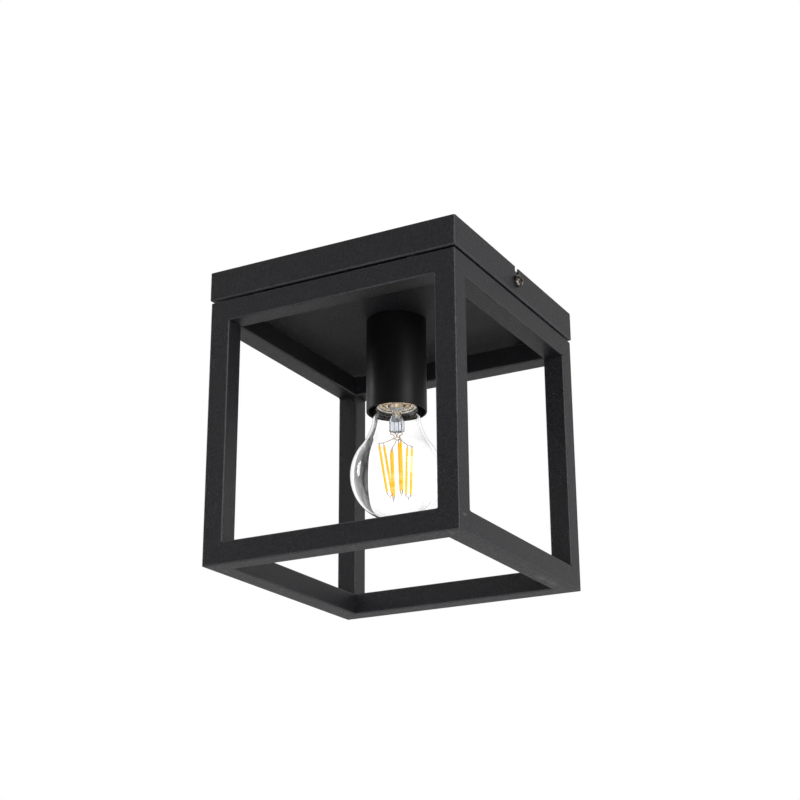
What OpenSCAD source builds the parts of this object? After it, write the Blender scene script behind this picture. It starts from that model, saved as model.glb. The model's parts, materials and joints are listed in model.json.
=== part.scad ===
// Porch ceiling lantern: an open cube of welded square tube under a shallow square canopy,
// with a clear filament lamp in a slim cylindrical lampholder. Millimetres, +Z up.
// The origin is the middle of the ceiling plane, and the lantern hangs below it.

/* [Cage] */
// Outer width of the square cage
cage_w = 174.4; // [150:0.2:220]
// Height of the cage over both of its rings
cage_h = 172.9; // [150:0.1:240]
// Side of the square tube that the cage is welded from
tube_w = 14.2; // [12:0.1:18]
// Wall of the square tube
tube_wall = 1; // [0.8:0.1:1.6]
// Outside corner radius of the square tube
tube_corner_r = 1.2; // [0.8:0.1:2]

/* [Canopy] */
// How far the canopy stands past the cage on each side
canopy_overhang = 0.75; // [0:0.05:3]
// Height of the canopy from the ceiling to its underside
canopy_h = 19.5; // [18:0.1:30]
// Thickness of the canopy's sheet steel
sheet_t = 1; // [0.8:0.1:1.2]
// Outside radius of the bend round the canopy's underside
bend_r = 1.5; // [1.3:0.1:2.5]
// Outside radius of the canopy's upright corners
canopy_corner_r = 1.4; // [1.3:0.1:4]

/* [Ceiling bracket] */
// Width of the bracket's steel strip
bracket_w = 25; // [20:1:40]
// Thickness of the bracket's steel strip
bracket_t = 1.5; // [1.2:0.1:2.5]
// Height of the bracket's turned-down ends, measured from the ceiling
bracket_leg_h = 15; // [14.5:0.5:16]
// Outside radius of the bracket's bends
bracket_bend_r = 2.8; // [2.7:0.1:4]
// Distance between the middles of the two ceiling screw slots
slot_spacing = 70; // [60:1:90]
// Width of the ceiling screw slots
slot_w = 5; // [4:0.1:6]
// Length of the ceiling screw slots, end to end
slot_l = 20; // [10:1:30]
// Diameter of the hole that the supply cable comes through
cable_hole_d = 16; // [12:0.5:20]

/* [Side screws] */
// Depth of the side screws' axis below the ceiling
side_screw_z = 9.5; // [8:0.1:10.5]
// Nominal diameter of the side screws
side_screw_d = 4; // [3:0.5:4]
// Diameter of the side screws' pan heads
side_head_d = 8; // [7:0.1:9]
// Height of the side screws' pan heads
side_head_h = 2.6; // [2:0.1:3]
// Length of the side screws under the washer
side_screw_l = 9; // [8:0.5:12]
// Thickness of the washers under the side screws' heads
side_washer_t = 0.6; // [0.4:0.1:1]
// Width of the canopy's open-topped slots for the side screws
side_slot_w = 5; // [4.6:0.1:6]

/* [Cage fixings] */
// Distance of the cage screws from the middle of the front and back rails
cage_screw_x = 55; // [40:1:60]
// Nominal diameter of the cage screws
cage_screw_d = 4; // [3:0.5:4]
// Length of the cage screws under their washers
cage_screw_l = 9; // [7:0.5:10]
// Height of the rivet nuts' flanges, which is the shadow gap under the canopy
shadow_gap = 1.2; // [0.5:0.1:2]
// Outside diameter of the rivet nuts' barrels
rivet_nut_d = 6; // [5.5:0.1:7]

/* [Lampholder] */
// Outside diameter of the lampholder's sleeve
sleeve_d = 39.4; // [38:0.1:46]
// Length of the sleeve below the canopy
sleeve_l = 63.5; // [60:0.5:75]
// Wall of the sleeve
sleeve_wall = 1.2; // [1:0.1:1.5]
// Outside diameter of the lampholder's body inside the sleeve
holder_d = 34; // [33:0.5:35]
// Diameter of the threaded nipple that clamps the lampholder to the canopy
nipple_d = 10; // [9:0.5:11]
// Bore of the nipple
nipple_bore = 7.5; // [7:0.1:8]

/* [Lamp] */
// Diameter of the lamp's glass ball
ball_d = 60; // [55:1:62]
// Diameter of the lamp's glass neck
neck_d = 30; // [28:0.5:32]
// Radius of the hollow shoulder between the ball and the neck
shoulder_r = 40; // [38:1:52]
// Wall of the lamp's glass
glass_t = 0.8; // [0.6:0.1:1]
// Overall length of the lamp, from its contact to the end of the ball
lamp_l = 105; // [103:1:112]
// Pitch of the lamp's screw thread
thread_pitch = 3.629; // [3.4:0.001:3.8]
// Depth of the lamp's rolled thread, crest to root
thread_depth = 1.1; // [0.9:0.05:1.1]
// Diameter of the lamp's cap, halfway between crest and root
thread_mean_d = 25.36; // [25:0.01:25.5]
// Length of the lit part of each filament
filament_l = 31.4; // [26:0.1:34]
// Diameter of each filament
filament_d = 1.6; // [1:0.1:2]
// Distance between the two filaments of a pair
pair_w = 3.2; // [2:0.1:5]
// Distance of a pair's middle from the lamp's axis at the upper ends
filament_top_r = 9.4; // [8:0.1:10]
// Distance of a pair's middle from the lamp's axis at the lower ends
filament_foot_r = 6.3; // [5:0.1:8]
// How far the mounted filaments lean sideways over their length
lean_l = 1.9; // [0:0.1:3]
// Height of the filaments' upper ends above the middle of the ball
filament_rise = 19.2; // [16:0.1:22]
// Height of the glass stem's end above the middle of the ball
stem_rise = 28; // [25:0.5:32]

/* [Terminals] */
// Distance between the poles of the terminal block
pole_pitch = 10; // [9:0.5:12]
// Depth of the terminal block along its wires
block_l = 17; // [15:1:20]
// Height of the terminal block
block_h = 12.5; // [11:0.5:13]
// Distance of the terminal block's middle from the lampholder's axis
block_y = 45; // [40:1:50]
// Diameter of the insulated wires
wire_d = 2.2; // [1.8:0.1:2.2]

/* [Hidden] */

$fn = 48;
// Clearance of a screw in the thread that holds it
thread_clear = 0.05;
// Clearance of a screw or a tube in a plain hole
hole_clear = 0.25;
// Clearance between pieces that slide into each other
slide_clear = 0.1;
// Clearance between the bracket's ends and the canopy's walls
leg_clear = 0.2;
// Extra length that takes a cut past the face that it opens
over = 1;

// Canopy, cage and the heights that follow from them
canopy_w = cage_w + 2 * canopy_overhang;
canopy_floor_z = -canopy_h + sheet_t;
cage_top_z = -canopy_h - shadow_gap;
cage_bottom_z = cage_top_z - cage_h;
rail_y = (cage_w - tube_w) / 2;
tube_inner_r = max(tube_corner_r - tube_wall, 0.2);
post_l = cage_h - 2 * tube_w;

// Bracket and side screws
leg_x = canopy_w / 2 - sheet_t - leg_clear;
earth_screw_inset = 28.5;
earth_screw_x = leg_x - earth_screw_inset;
earth_screw_d = 4;
earth_head_d = 7;
earth_head_h = 2.4;
earth_washer_d = 9;
earth_washer_t = 1;
clinch_nut_d = 7.5;
clinch_nut_t = 3;
recess_w = 1;
recess_l = 4;
recess_depth = 1.2;

// Cage screws and rivet nuts
cage_head_d = 7.4;
cage_head_h = 2.6;
cage_washer_d = 9;
cage_washer_t = 0.8;
rivet_flange_d = 9;
rivet_bulge_d = 8;
rivet_bulge_h = 2;
rivet_nut_l = 9.5;

// Lampholder, from the canopy's underside down
sleeve_bottom_z = -canopy_h - sleeve_l;
sleeve_plate_z = -canopy_h - sleeve_wall;
sleeve_r = sleeve_d / 2;
holder_r = holder_d / 2;
holder_wall = 2;
dome_neck_r = 8;
dome_neck_l = 5.5;
dome_cone_l = 6.5;
dome_straight_l = 5.3;
spigot_l = 3;
nipple_above = 6;
nipple_in_dome = 7;
nipple_top_z = canopy_floor_z + nipple_above;
nipple_bottom_z = sleeve_plate_z - nipple_in_dome;
nipple_nut_af = 14;
nipple_nut_h = 3;
nipple_washer_d = 18;
nipple_washer_t = 0.8;
bush_wall = 0.5;
bush_lip = 0.8;
bush_edge = 0.3;
bush_l = 5;
skirt_top_z = sleeve_plate_z - dome_neck_l - dome_cone_l - dome_straight_l;
dome_foot_z = skirt_top_z - spigot_l;
spigot_inset = 1.5;
spigot_r = holder_r - spigot_inset;
dome_inner_drop = 1;
nipple_play = 0.5;
carrier_flange_t = 3;
carrier_t = 7;
carrier_r = 13.8;
carrier_foot_z = dome_foot_z - carrier_t;
strip_t = 0.4;
strip_w = 6;
strip_inset = 0.5;
shell_outer_r = 13.95;
shell_l = 21;
shell_top_z = carrier_foot_z - strip_t;
skirt_l = 36;
holder_terminal_x = 8;
holder_terminal_w = 5;
holder_stem_d = 2.5;
holder_clamp_d = 2;
holder_screw_drop = 1.8;
holder_screw_head_d = 4;
holder_screw_head_h = 1.2;

// Lamp, measured down from its contact
contact_drop = 2.5;
lamp_top_z = carrier_foot_z - contact_drop;
ball_r = ball_d / 2;
neck_r = neck_d / 2;
ball_z = lamp_top_z - lamp_l + ball_r;
thread_mean_r = thread_mean_d / 2;
// Radial clearance between the lamp's thread and the lampholder's
thread_play = 0.2;
contact_r = 4.8;
contact_h = 1.3;
contact_crown_h = 0.6;
contact_crown_inset = 1.4;
insulator_h = 3.2;
insulator_edge_h = 0.6;
insulator_inset = 0.1;
insulator_crown_r = contact_r + 1;
insulator_spigot_l = 2;
insulator_spigot_wall = 2;
cap_top_z = lamp_top_z - contact_h - insulator_h;
cap_l = 23;
cap_rim_z = cap_top_z - cap_l;
cap_inner_r = 11.6;
cap_rim_r = 13.6;
cap_rim_h = 1.4;
cap_rim_t = 1;
cap_fade = 2.5;
// Height of the shoulder's end above the ball's middle: the two arcs touch there
shoulder_rise = sqrt(pow(ball_r + shoulder_r, 2) - pow(neck_r + shoulder_r, 2));
neck_z = ball_z + shoulder_rise;
collar_r = cap_inner_r - 0.4;
collar_l = 6;
stem_r = 2.6;
stem_flare_r = collar_r - glass_t - slide_clear;
stem_flare_above_rim = 4;
stem_flare_z = cap_rim_z + stem_flare_above_rim;
stem_waist_below_rim = 7;
stem_waist_z = cap_rim_z - stem_waist_below_rim;
stem_foot_z = ball_z + stem_rise;
filament_top_z = ball_z + filament_rise;
filament_foot_z = filament_top_z - filament_l;
pair_count = 4;
pair_turn = 45;
lean_turn = 30;
support_d = 0.5;
lead_d = 0.6;
lead_x = 1.4;
board_t = 1;
board_h = 10;
board_w = 2 * cap_inner_r - 0.6;
board_top_z = cap_top_z - insulator_spigot_l - slide_clear;
board_mid_z = board_top_z - board_h / 2;

// Terminal block
pole_count = 3;
pole_z = canopy_floor_z + block_h / 2;
pole_r = 2.5;
pole_bore_r = 1.5;
block_w = pole_pitch * pole_count;
block_screw_d = 3;
block_screw_in = 4;
block_stud_d = 2.5;
block_stud_proud = 3;
block_nut_af = 5;
block_nut_h = 2;
block_web = 0.3;
block_seat_h = block_h / 2 + pole_r + block_web;
block_edge_y = block_y - block_l / 2;
wire_r = wire_d / 2;
wire_in_block = 5;
wire_x = 1.25;

// Earth stud in the canopy
earth_x = 32;
earth_y = 22;
stud_d = 4;
stud_h = 10;
ring_t = 0.8;
ring_d = 8;
strap_w = 2.4;
earth_nut_af = 7;
earth_nut_h = 3.2;
stud_washer_t = 0.8;
barrel_l = 5;
barrel_r = 1.8;
barrel_x = 6;
barrel_z = canopy_floor_z + barrel_r;

// Routes of the wires: each leaves the terminal block towards the lampholder
wire_start_y = block_edge_y + wire_in_block;
holder_wire_z = dome_foot_z + 2;
function holder_route(pole, side) = [
    [pole * pole_pitch, wire_start_y, pole_z],
    [pole * pole_pitch, block_edge_y - 1, pole_z],
    [pole * pole_pitch * 0.95 + side * 0.2, block_edge_y - 8, pole_z + 1.4],
    [pole * pole_pitch * 0.6 + side * 0.6, block_edge_y - 17, pole_z + 4],
    [pole * pole_pitch * 0.2 + side, 9.5, pole_z + 6],
    [side * wire_x, 4, pole_z + 5.5],
    [side * wire_x, 0.9, nipple_top_z + 2.6],
    [side * wire_x, 0, nipple_top_z],
    [side * wire_x, 0, nipple_top_z - 6],
    [side * wire_x, 0, nipple_bottom_z + 2],
    [side * (wire_x + 0.7), 0, nipple_bottom_z - 1.3],
    [side * (holder_terminal_x - 2.8), 0, nipple_bottom_z - 4],
    [side * (holder_terminal_x - 0.3), 0, holder_wire_z + 5.6],
    [side * holder_terminal_x, 0, holder_wire_z + 3.6],
    [side * holder_terminal_x, 0, holder_wire_z]
];
earth_route = [
    [pole_pitch, wire_start_y, pole_z],
    [pole_pitch, block_edge_y - 1, pole_z],
    [pole_pitch + 0.5, block_edge_y - 5, pole_z - 0.8],
    [pole_pitch + 2.2, block_edge_y - 10, pole_z - 2.4],
    [pole_pitch + 5.2, earth_y + 1.1, barrel_z + 0.7],
    [earth_x - barrel_x - barrel_l - 2.4, earth_y, barrel_z],
    [earth_x - barrel_x - barrel_l, earth_y, barrel_z],
    [earth_x - barrel_x - barrel_l + 3, earth_y, barrel_z]
];

// Colours, as seen
charcoal = [0.17, 0.17, 0.18];
satin_black = [0.08, 0.08, 0.08];
zinc = [0.72, 0.73, 0.75];
nickel = [0.78, 0.77, 0.74];
brass_tone = [0.78, 0.62, 0.30];
clear_glass = [0.85, 0.90, 0.92, 0.35];
black_glass = [0.05, 0.05, 0.06];

// ---- Shared shapes ----

// A square outline with round corners, centred
module rounded_square(w, r) {
    square([w - 2 * r, w], center = true);
    square([w, w - 2 * r], center = true);
    for (x = [-1, 1], y = [-1, 1])
        translate([x * (w / 2 - r), y * (w / 2 - r)]) circle(r = r);
}

// A tube with a round bore, standing on z = 0
module pipe(r, bore_r, h) {
    difference() {
        cylinder(r = r, h = h);
        translate([0, 0, -over]) cylinder(r = bore_r, h = h + 2 * over);
    }
}

// A straight round rod from one point to another
module rod(from, to, d) {
    v = to - from;
    l = norm(v);
    translate(from)
        rotate([0, acos(v[2] / l), atan2(v[1], v[0])])
            cylinder(d = d, h = l, $fn = 16);
}

// A pan-head screw, head up, with its shank below z = 0 and a cross recess in its head
module pan_screw(d, l, head_d, head_h) {
    point = 0.4;
    rim_h = head_h * 0.35;
    shoulder_h = head_h * 0.72;
    shoulder_r = head_d / 2 - head_h * 0.14;
    crown_r = head_d / 2 - head_h * 0.45;
    difference() {
        rotate_extrude() polygon([
            [0, -l], [d / 2 - point, -l], [d / 2, -l + point], [d / 2, 0],
            [head_d / 2, 0], [head_d / 2, rim_h], [shoulder_r, shoulder_h],
            [crown_r, head_h], [0, head_h]
        ]);
        for (a = [0, 90])
            rotate([0, 0, a])
                translate([-recess_l / 2, -recess_w / 2, head_h - recess_depth])
                    cube([recess_l, recess_w, recess_depth + over]);
    }
}

// A hexagon nut standing on z = 0
module hex_nut(af, bore_r, h) {
    difference() {
        cylinder(d = af / cos(30), h = h, $fn = 6);
        translate([0, 0, -over]) cylinder(r = bore_r, h = h + 2 * over);
    }
}

// A closed surface through a loop of rings, each with the same number of points
module ring_loop(rings) {
    n = len(rings[0]);
    m = len(rings);
    polyhedron(
        points = [for (ring = rings, p = ring) p],
        faces = [
            for (i = [0 : m - 1], j = [0 : n - 1], half = [0, 1])
                let (a = i * n + j, b = i * n + (j + 1) % n)
                let (c = ((i + 1) % m) * n + (j + 1) % n, d = ((i + 1) % m) * n + j)
                half == 0 ? [a, b, c] : [a, c, d]
        ],
        convexity = 6
    );
}

// A closed tube through rings of points, with flat ends
module ring_sweep(rings) {
    n = len(rings[0]);
    m = len(rings);
    polyhedron(
        points = [for (ring = rings, p = ring) p],
        faces = concat(
            [[for (j = [n - 1 : -1 : 0]) j]],
            [
                for (i = [0 : m - 2], j = [0 : n - 1], half = [0, 1])
                    let (a = i * n + j, b = i * n + (j + 1) % n)
                    let (c = (i + 1) * n + (j + 1) % n, d = (i + 1) * n + j)
                    half == 0 ? [a, b, c] : [a, c, d]
            ],
            [[for (j = [0 : n - 1]) (m - 1) * n + j]]
        ),
        convexity = 6
    );
}

// ---- Wires ----

wire_sides = 8;
wire_steps = 3;

// A point of the smooth curve between b and c, with a before and d after them
function curve_point(a, b, c, d, t) =
    0.5 * (2 * b + (c - a) * t + (2 * a - 5 * b + 4 * c - d) * t * t
    + (3 * b - a - 3 * c + d) * t * t * t);

// The smooth curve through a route, with wire_steps points for each of its stretches
function smooth_route(route) =
    let (last = len(route) - 1)
    concat(
        [
            for (i = [0 : last - 1], k = [0 : wire_steps - 1])
                curve_point(
                    route[max(i - 1, 0)], route[i], route[i + 1], route[min(i + 2, last)],
                    k / wire_steps
                )
        ],
        [route[last]]
    );

function unit(v) = v / norm(v);

// A ring of points round each point of a line. No stretch may run along the sideways vector
function line_rings(line, r, sideways) = [
    for (i = [0 : len(line) - 1])
        let (along = unit(line[min(i + 1, len(line) - 1)] - line[max(i - 1, 0)]))
        let (u = unit(cross(sideways, along)))
        let (v = cross(along, u))
        [for (j = [0 : wire_sides - 1])
            let (a = -360 * (j + 0.5) / wire_sides)
            line[i] + r * (cos(a) * u + sin(a) * v)]
];

module wire(route, sideways) {
    ring_sweep(line_rings(smooth_route(route), wire_r, sideways));
}

// ---- Ceiling bracket ----

// Outline of the bracket seen from the front: a strip with both ends bent down
module bracket_outline() {
    translate([0, -bracket_leg_h]) difference() {
        mirror([0, 1]) tray_outline(2 * leg_x, bracket_leg_h, bracket_bend_r);
        translate([0, -over]) mirror([0, 1])
            tray_outline(
                2 * (leg_x - bracket_t), bracket_leg_h - bracket_t + over,
                bracket_bend_r - bracket_t
            );
    }
}

module mounting_bracket() {
    color(zinc) difference() {
        rotate([90, 0, 0]) linear_extrude(bracket_w, center = true) bracket_outline();
        for (side = [-1, 1]) {
            slot_straight = slot_l - slot_w;
            translate([side * slot_spacing / 2, 0, -bracket_t - over]) {
                for (end = [-1, 1])
                    translate([end * slot_straight / 2, 0, 0])
                        cylinder(d = slot_w, h = bracket_t + 2 * over);
                translate([-slot_straight / 2, -slot_w / 2, 0])
                    cube([slot_straight, slot_w, bracket_t + 2 * over]);
            }
            translate([side * (leg_x + over), 0, -side_screw_z])
                rotate([0, -side * 90, 0])
                    cylinder(r = side_screw_d / 2 + hole_clear, h = bracket_t + 2 * over);
        }
        translate([0, 0, -bracket_t - over])
            cylinder(d = cable_hole_d, h = bracket_t + 2 * over);
        translate([-earth_screw_x, 0, -bracket_t - over])
            cylinder(r = earth_screw_d / 2 + thread_clear, h = bracket_t + 2 * over);
    }
}

// The threaded nuts behind the bracket's ends, which the side screws turn in
module side_clinch_nuts() {
    color(zinc)
        for (side = [-1, 1])
            translate([side * (leg_x - bracket_t), 0, -side_screw_z])
                rotate([0, -side * 90, 0])
                    pipe(clinch_nut_d / 2, side_screw_d / 2 + thread_clear, clinch_nut_t);
}

module bracket_earth_screw() {
    color(brass_tone)
        translate([-earth_screw_x, 0, -bracket_t - earth_washer_t])
            rotate([180, 0, 0])
                pan_screw(earth_screw_d, bracket_t + earth_washer_t, earth_head_d, earth_head_h);
}

module bracket_earth_washer() {
    color(zinc)
        translate([-earth_screw_x, 0, -bracket_t - earth_washer_t])
            pipe(earth_washer_d / 2, earth_screw_d / 2 + hole_clear, earth_washer_t);
}

// ---- Side screws: side is -1 on the left and 1 on the right ----

module side_screw(side) {
    color(nickel)
        translate([side * (canopy_w / 2 + side_washer_t), 0, -side_screw_z])
            rotate([0, side * 90, 0])
                pan_screw(side_screw_d, side_screw_l + side_washer_t, side_head_d, side_head_h);
}

module side_washer(side) {
    color(nickel)
        translate([side * canopy_w / 2, 0, -side_screw_z])
            rotate([0, side * 90, 0])
                pipe(side_head_d / 2, side_screw_d / 2 + slide_clear, side_washer_t);
}

module side_screw_left() { side_screw(-1); }
module side_screw_right() { side_screw(1); }
module side_washer_left() { side_washer(-1); }
module side_washer_right() { side_washer(1); }

// ---- Canopy ----

// Outline of a shallow tray seen from one side, hanging below y = 0, with a bend at each foot
module tray_outline(w, h, r) {
    translate([-w / 2, -h + r]) square([w, h - r]);
    translate([-w / 2 + r, -h]) square([w - 2 * r, h]);
    for (side = [-1, 1])
        translate([side * (w / 2 - r), -h + r]) circle(r = r);
}

// A solid block of a tray's shape, with bends all round its underside
module tray_block(w, h, bend, corner) {
    intersection() {
        rotate([90, 0, 0]) linear_extrude(w, center = true) tray_outline(w, h, bend);
        rotate([90, 0, 90]) linear_extrude(w, center = true) tray_outline(w, h, bend);
        translate([0, 0, -h]) linear_extrude(h) rounded_square(w, corner);
    }
}

module canopy_tray() {
    inner_w = canopy_w - 2 * sheet_t;
    color(charcoal) difference() {
        tray_block(canopy_w, canopy_h, bend_r, canopy_corner_r);
        translate([0, 0, over])
            tray_block(
                inner_w, canopy_h - sheet_t + over, bend_r - sheet_t, canopy_corner_r - sheet_t
            );
        // Slots that let the canopy down off its side screws
        for (side = [-1, 1]) {
            translate([side * (canopy_w / 2 + over), 0, -side_screw_z])
                rotate([0, -side * 90, 0])
                    cylinder(d = side_slot_w, h = sheet_t + 2 * over);
            translate([side * (canopy_w - sheet_t) / 2, 0, (over - side_screw_z) / 2])
                cube([sheet_t + 2 * over, side_slot_w, side_screw_z + over], center = true);
        }
        translate([0, 0, -canopy_h - over])
            cylinder(r = nipple_d / 2 + hole_clear, h = sheet_t + 2 * over);
        at_cage_screws(-canopy_h - over)
            cylinder(r = cage_screw_d / 2 + hole_clear, h = sheet_t + 2 * over);
    }
}

// ---- Cage: rails are drawn at the front, with their posts below (-1) or above (1) ----

// Section of a rail; where a post is welded on, that side is filled out square
module rail_section(post_side) {
    rounded_square(tube_w, tube_corner_r);
    translate([0, post_side * tube_w / 4]) square([tube_w, tube_w / 2], center = true);
}

module rail(post_side) {
    translate([0, 0, -post_side * (cage_h - tube_w) / 2 + (cage_top_z + cage_bottom_z) / 2])
        intersection() {
            translate([0, -rail_y, 0]) rotate([90, 0, 90]) difference() {
                union() {
                    linear_extrude(cage_w, center = true) rounded_square(tube_w, tube_corner_r);
                    for (end = [-1, 1])
                        translate([0, 0, end * rail_y])
                            linear_extrude(tube_w, center = true) rail_section(post_side);
                }
                linear_extrude(cage_w + over, center = true)
                    rounded_square(tube_w - 2 * tube_wall, tube_inner_r);
            }
            // Mitred ends, and the cage's rounded corners seen from above
            linear_extrude(tube_w + over, center = true)
                polygon([[0, 0], [-cage_w, -cage_w], [cage_w, -cage_w]]);
            linear_extrude(tube_w + over, center = true)
                rounded_square(cage_w, tube_corner_r);
        }
}

// A top rail with the holes for its two rivet nuts, at the front
module drilled_top_rail() {
    difference() {
        rail(-1);
        for (side = [-1, 1])
            translate([side * cage_screw_x, -rail_y, cage_top_z - tube_wall - over])
                cylinder(r = rivet_nut_d / 2 + slide_clear, h = tube_wall + 2 * over);
    }
}

module top_rail_front() { color(charcoal) drilled_top_rail(); }
module top_rail_back() { color(charcoal) rotate([0, 0, 180]) drilled_top_rail(); }
module top_rail_left() { color(charcoal) rotate([0, 0, -90]) rail(-1); }
module top_rail_right() { color(charcoal) rotate([0, 0, 90]) rail(-1); }
module bottom_rail_front() { color(charcoal) rail(1); }
module bottom_rail_back() { color(charcoal) rotate([0, 0, 180]) rail(1); }
module bottom_rail_left() { color(charcoal) rotate([0, 0, -90]) rail(1); }
module bottom_rail_right() { color(charcoal) rotate([0, 0, 90]) rail(1); }

module post(x, y) {
    color(charcoal)
        translate([x * rail_y, y * rail_y, cage_bottom_z + tube_w])
            linear_extrude(post_l) difference() {
                rounded_square(tube_w, tube_corner_r);
                rounded_square(tube_w - 2 * tube_wall, tube_inner_r);
            }
}

module post_front_left() { post(-1, -1); }
module post_front_right() { post(1, -1); }
module post_back_left() { post(-1, 1); }
module post_back_right() { post(1, 1); }

// ---- Cage fixings ----

module at_cage_screws(z) {
    for (x = [-1, 1], y = [-1, 1])
        translate([x * cage_screw_x, y * rail_y, z]) children();
}

module cage_screws() {
    color(zinc)
        at_cage_screws(canopy_floor_z + cage_washer_t)
            pan_screw(cage_screw_d, cage_screw_l + cage_washer_t, cage_head_d, cage_head_h);
}

module cage_washers() {
    color(zinc)
        at_cage_screws(canopy_floor_z)
            pipe(cage_washer_d / 2, cage_screw_d / 2 + hole_clear, cage_washer_t);
}

// Rivet nuts: a flange on the rail, a barrel through its wall and a bulge that grips below
module cage_rivet_nuts() {
    barrel_r = rivet_nut_d / 2;
    bulge_r = rivet_bulge_d / 2;
    grip_z = -shadow_gap - tube_wall;
    color(zinc)
        at_cage_screws(-canopy_h)
            rotate_extrude() polygon([
                [cage_screw_d / 2 + thread_clear, -rivet_nut_l],
                [barrel_r, -rivet_nut_l],
                [barrel_r, grip_z - rivet_bulge_h],
                [bulge_r, grip_z - rivet_bulge_h / 2],
                [bulge_r, grip_z],
                [barrel_r, grip_z],
                [barrel_r, -shadow_gap],
                [rivet_flange_d / 2, -shadow_gap],
                [rivet_flange_d / 2, 0],
                [cage_screw_d / 2 + thread_clear, 0]
            ]);
}

// ---- Lampholder ----

module holder_sleeve() {
    edge = 0.3;
    color(satin_black) rotate_extrude($fn = 96) polygon([
        [nipple_d / 2 + hole_clear, -canopy_h],
        [sleeve_r - edge, -canopy_h],
        [sleeve_r, -canopy_h - edge],
        [sleeve_r, sleeve_bottom_z + edge],
        [sleeve_r - edge, sleeve_bottom_z],
        [sleeve_r - sleeve_wall + edge, sleeve_bottom_z],
        [sleeve_r - sleeve_wall, sleeve_bottom_z + edge],
        [sleeve_r - sleeve_wall, sleeve_plate_z],
        [nipple_d / 2 + hole_clear, sleeve_plate_z]
    ]);
}

module nipple() {
    color(zinc)
        translate([0, 0, nipple_bottom_z])
            pipe(nipple_d / 2, nipple_bore / 2, nipple_top_z - nipple_bottom_z);
}

module nipple_washer() {
    color(zinc)
        translate([0, 0, canopy_floor_z])
            pipe(nipple_washer_d / 2, nipple_d / 2 + slide_clear, nipple_washer_t);
}

module nipple_nut() {
    color(brass_tone)
        translate([0, 0, canopy_floor_z + nipple_washer_t])
            hex_nut(nipple_nut_af, nipple_d / 2 + thread_clear, nipple_nut_h);
}

// Plastic bush that keeps the wires off the nipple's edge
module nipple_bush() {
    bore_r = nipple_bore / 2 - slide_clear / 2;
    color("ivory") rotate_extrude() polygon([
        [bore_r - bush_wall, nipple_top_z - bush_l],
        [bore_r, nipple_top_z - bush_l],
        [bore_r, nipple_top_z],
        [nipple_d / 2, nipple_top_z],
        [nipple_d / 2 - bush_edge, nipple_top_z + bush_lip],
        [bore_r - bush_wall, nipple_top_z + bush_lip]
    ]);
}

module holder_dome() {
    neck_foot_z = sleeve_plate_z - dome_neck_l;
    cone_foot_z = neck_foot_z - dome_cone_l;
    nipple_seat_z = nipple_bottom_z - nipple_play;
    inner_r = spigot_r - holder_wall;
    color(satin_black) rotate_extrude() polygon([
        [nipple_d / 2 + thread_clear, sleeve_plate_z],
        [dome_neck_r, sleeve_plate_z],
        [dome_neck_r, neck_foot_z],
        [holder_r, cone_foot_z],
        [holder_r, skirt_top_z],
        [spigot_r, skirt_top_z],
        [spigot_r, dome_foot_z],
        [inner_r, dome_foot_z],
        [inner_r, cone_foot_z - dome_inner_drop],
        [dome_neck_r - holder_wall, nipple_seat_z],
        [nipple_d / 2 + thread_clear, nipple_seat_z]
    ]);
}

module holder_skirt() {
    ledge_z = dome_foot_z - carrier_flange_t;
    color(satin_black) rotate_extrude() polygon([
        [spigot_r + thread_clear, skirt_top_z],
        [holder_r, skirt_top_z],
        [holder_r, skirt_top_z - skirt_l],
        [shell_outer_r + thread_clear, skirt_top_z - skirt_l],
        [shell_outer_r + thread_clear, ledge_z],
        [spigot_r + thread_clear, ledge_z]
    ]);
}

// Insulating disc that carries the contacts, held between the dome and the skirt's ledge
module contact_carrier() {
    color("whitesmoke") difference() {
        union() {
            translate([0, 0, dome_foot_z - carrier_flange_t])
                cylinder(r = spigot_r - slide_clear, h = carrier_flange_t);
            translate([0, 0, carrier_foot_z]) cylinder(r = carrier_r, h = carrier_t);
        }
        at_holder_terminals(carrier_foot_z - over)
            cylinder(r = holder_stem_d / 2 + thread_clear, h = carrier_t + 2 * over);
    }
}

module at_holder_terminals(z) {
    for (side = [-1, 1])
        translate([side * holder_terminal_x, 0, z]) children();
}

// Brass terminals on the carrier, each with a stem down to its contact
module holder_terminals() {
    w = holder_terminal_w;
    color(brass_tone)
        at_holder_terminals(dome_foot_z) difference() {
            union() {
                translate([-w / 2, -w / 2, 0]) cube([w, w, w]);
                translate([0, 0, -carrier_t]) cylinder(d = holder_stem_d, h = carrier_t);
            }
            translate([0, 0, holder_wire_z - dome_foot_z - slide_clear])
                cylinder(r = wire_r + slide_clear, h = w + over);
            translate([0, 0, w - holder_screw_drop])
                rotate([0, 90, 0])
                    cylinder(r = holder_clamp_d / 2 + thread_clear, h = w + over, center = true);
        }
}

// Clamping screws of the two terminals, reached from the sides
module holder_terminal_screws() {
    tip_x = wire_r + slide_clear;
    color(zinc)
        for (side = [-1, 1])
            translate([
                side * (holder_terminal_x + holder_terminal_w / 2), 0,
                dome_foot_z + holder_terminal_w - holder_screw_drop
            ])
                rotate([0, side * 90, 0])
                    union() {
                        cylinder(d = holder_screw_head_d, h = holder_screw_head_h);
                        translate([0, 0, tip_x - holder_terminal_w / 2])
                            cylinder(d = holder_clamp_d, h = holder_terminal_w / 2 - tip_x);
                    }
}

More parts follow.
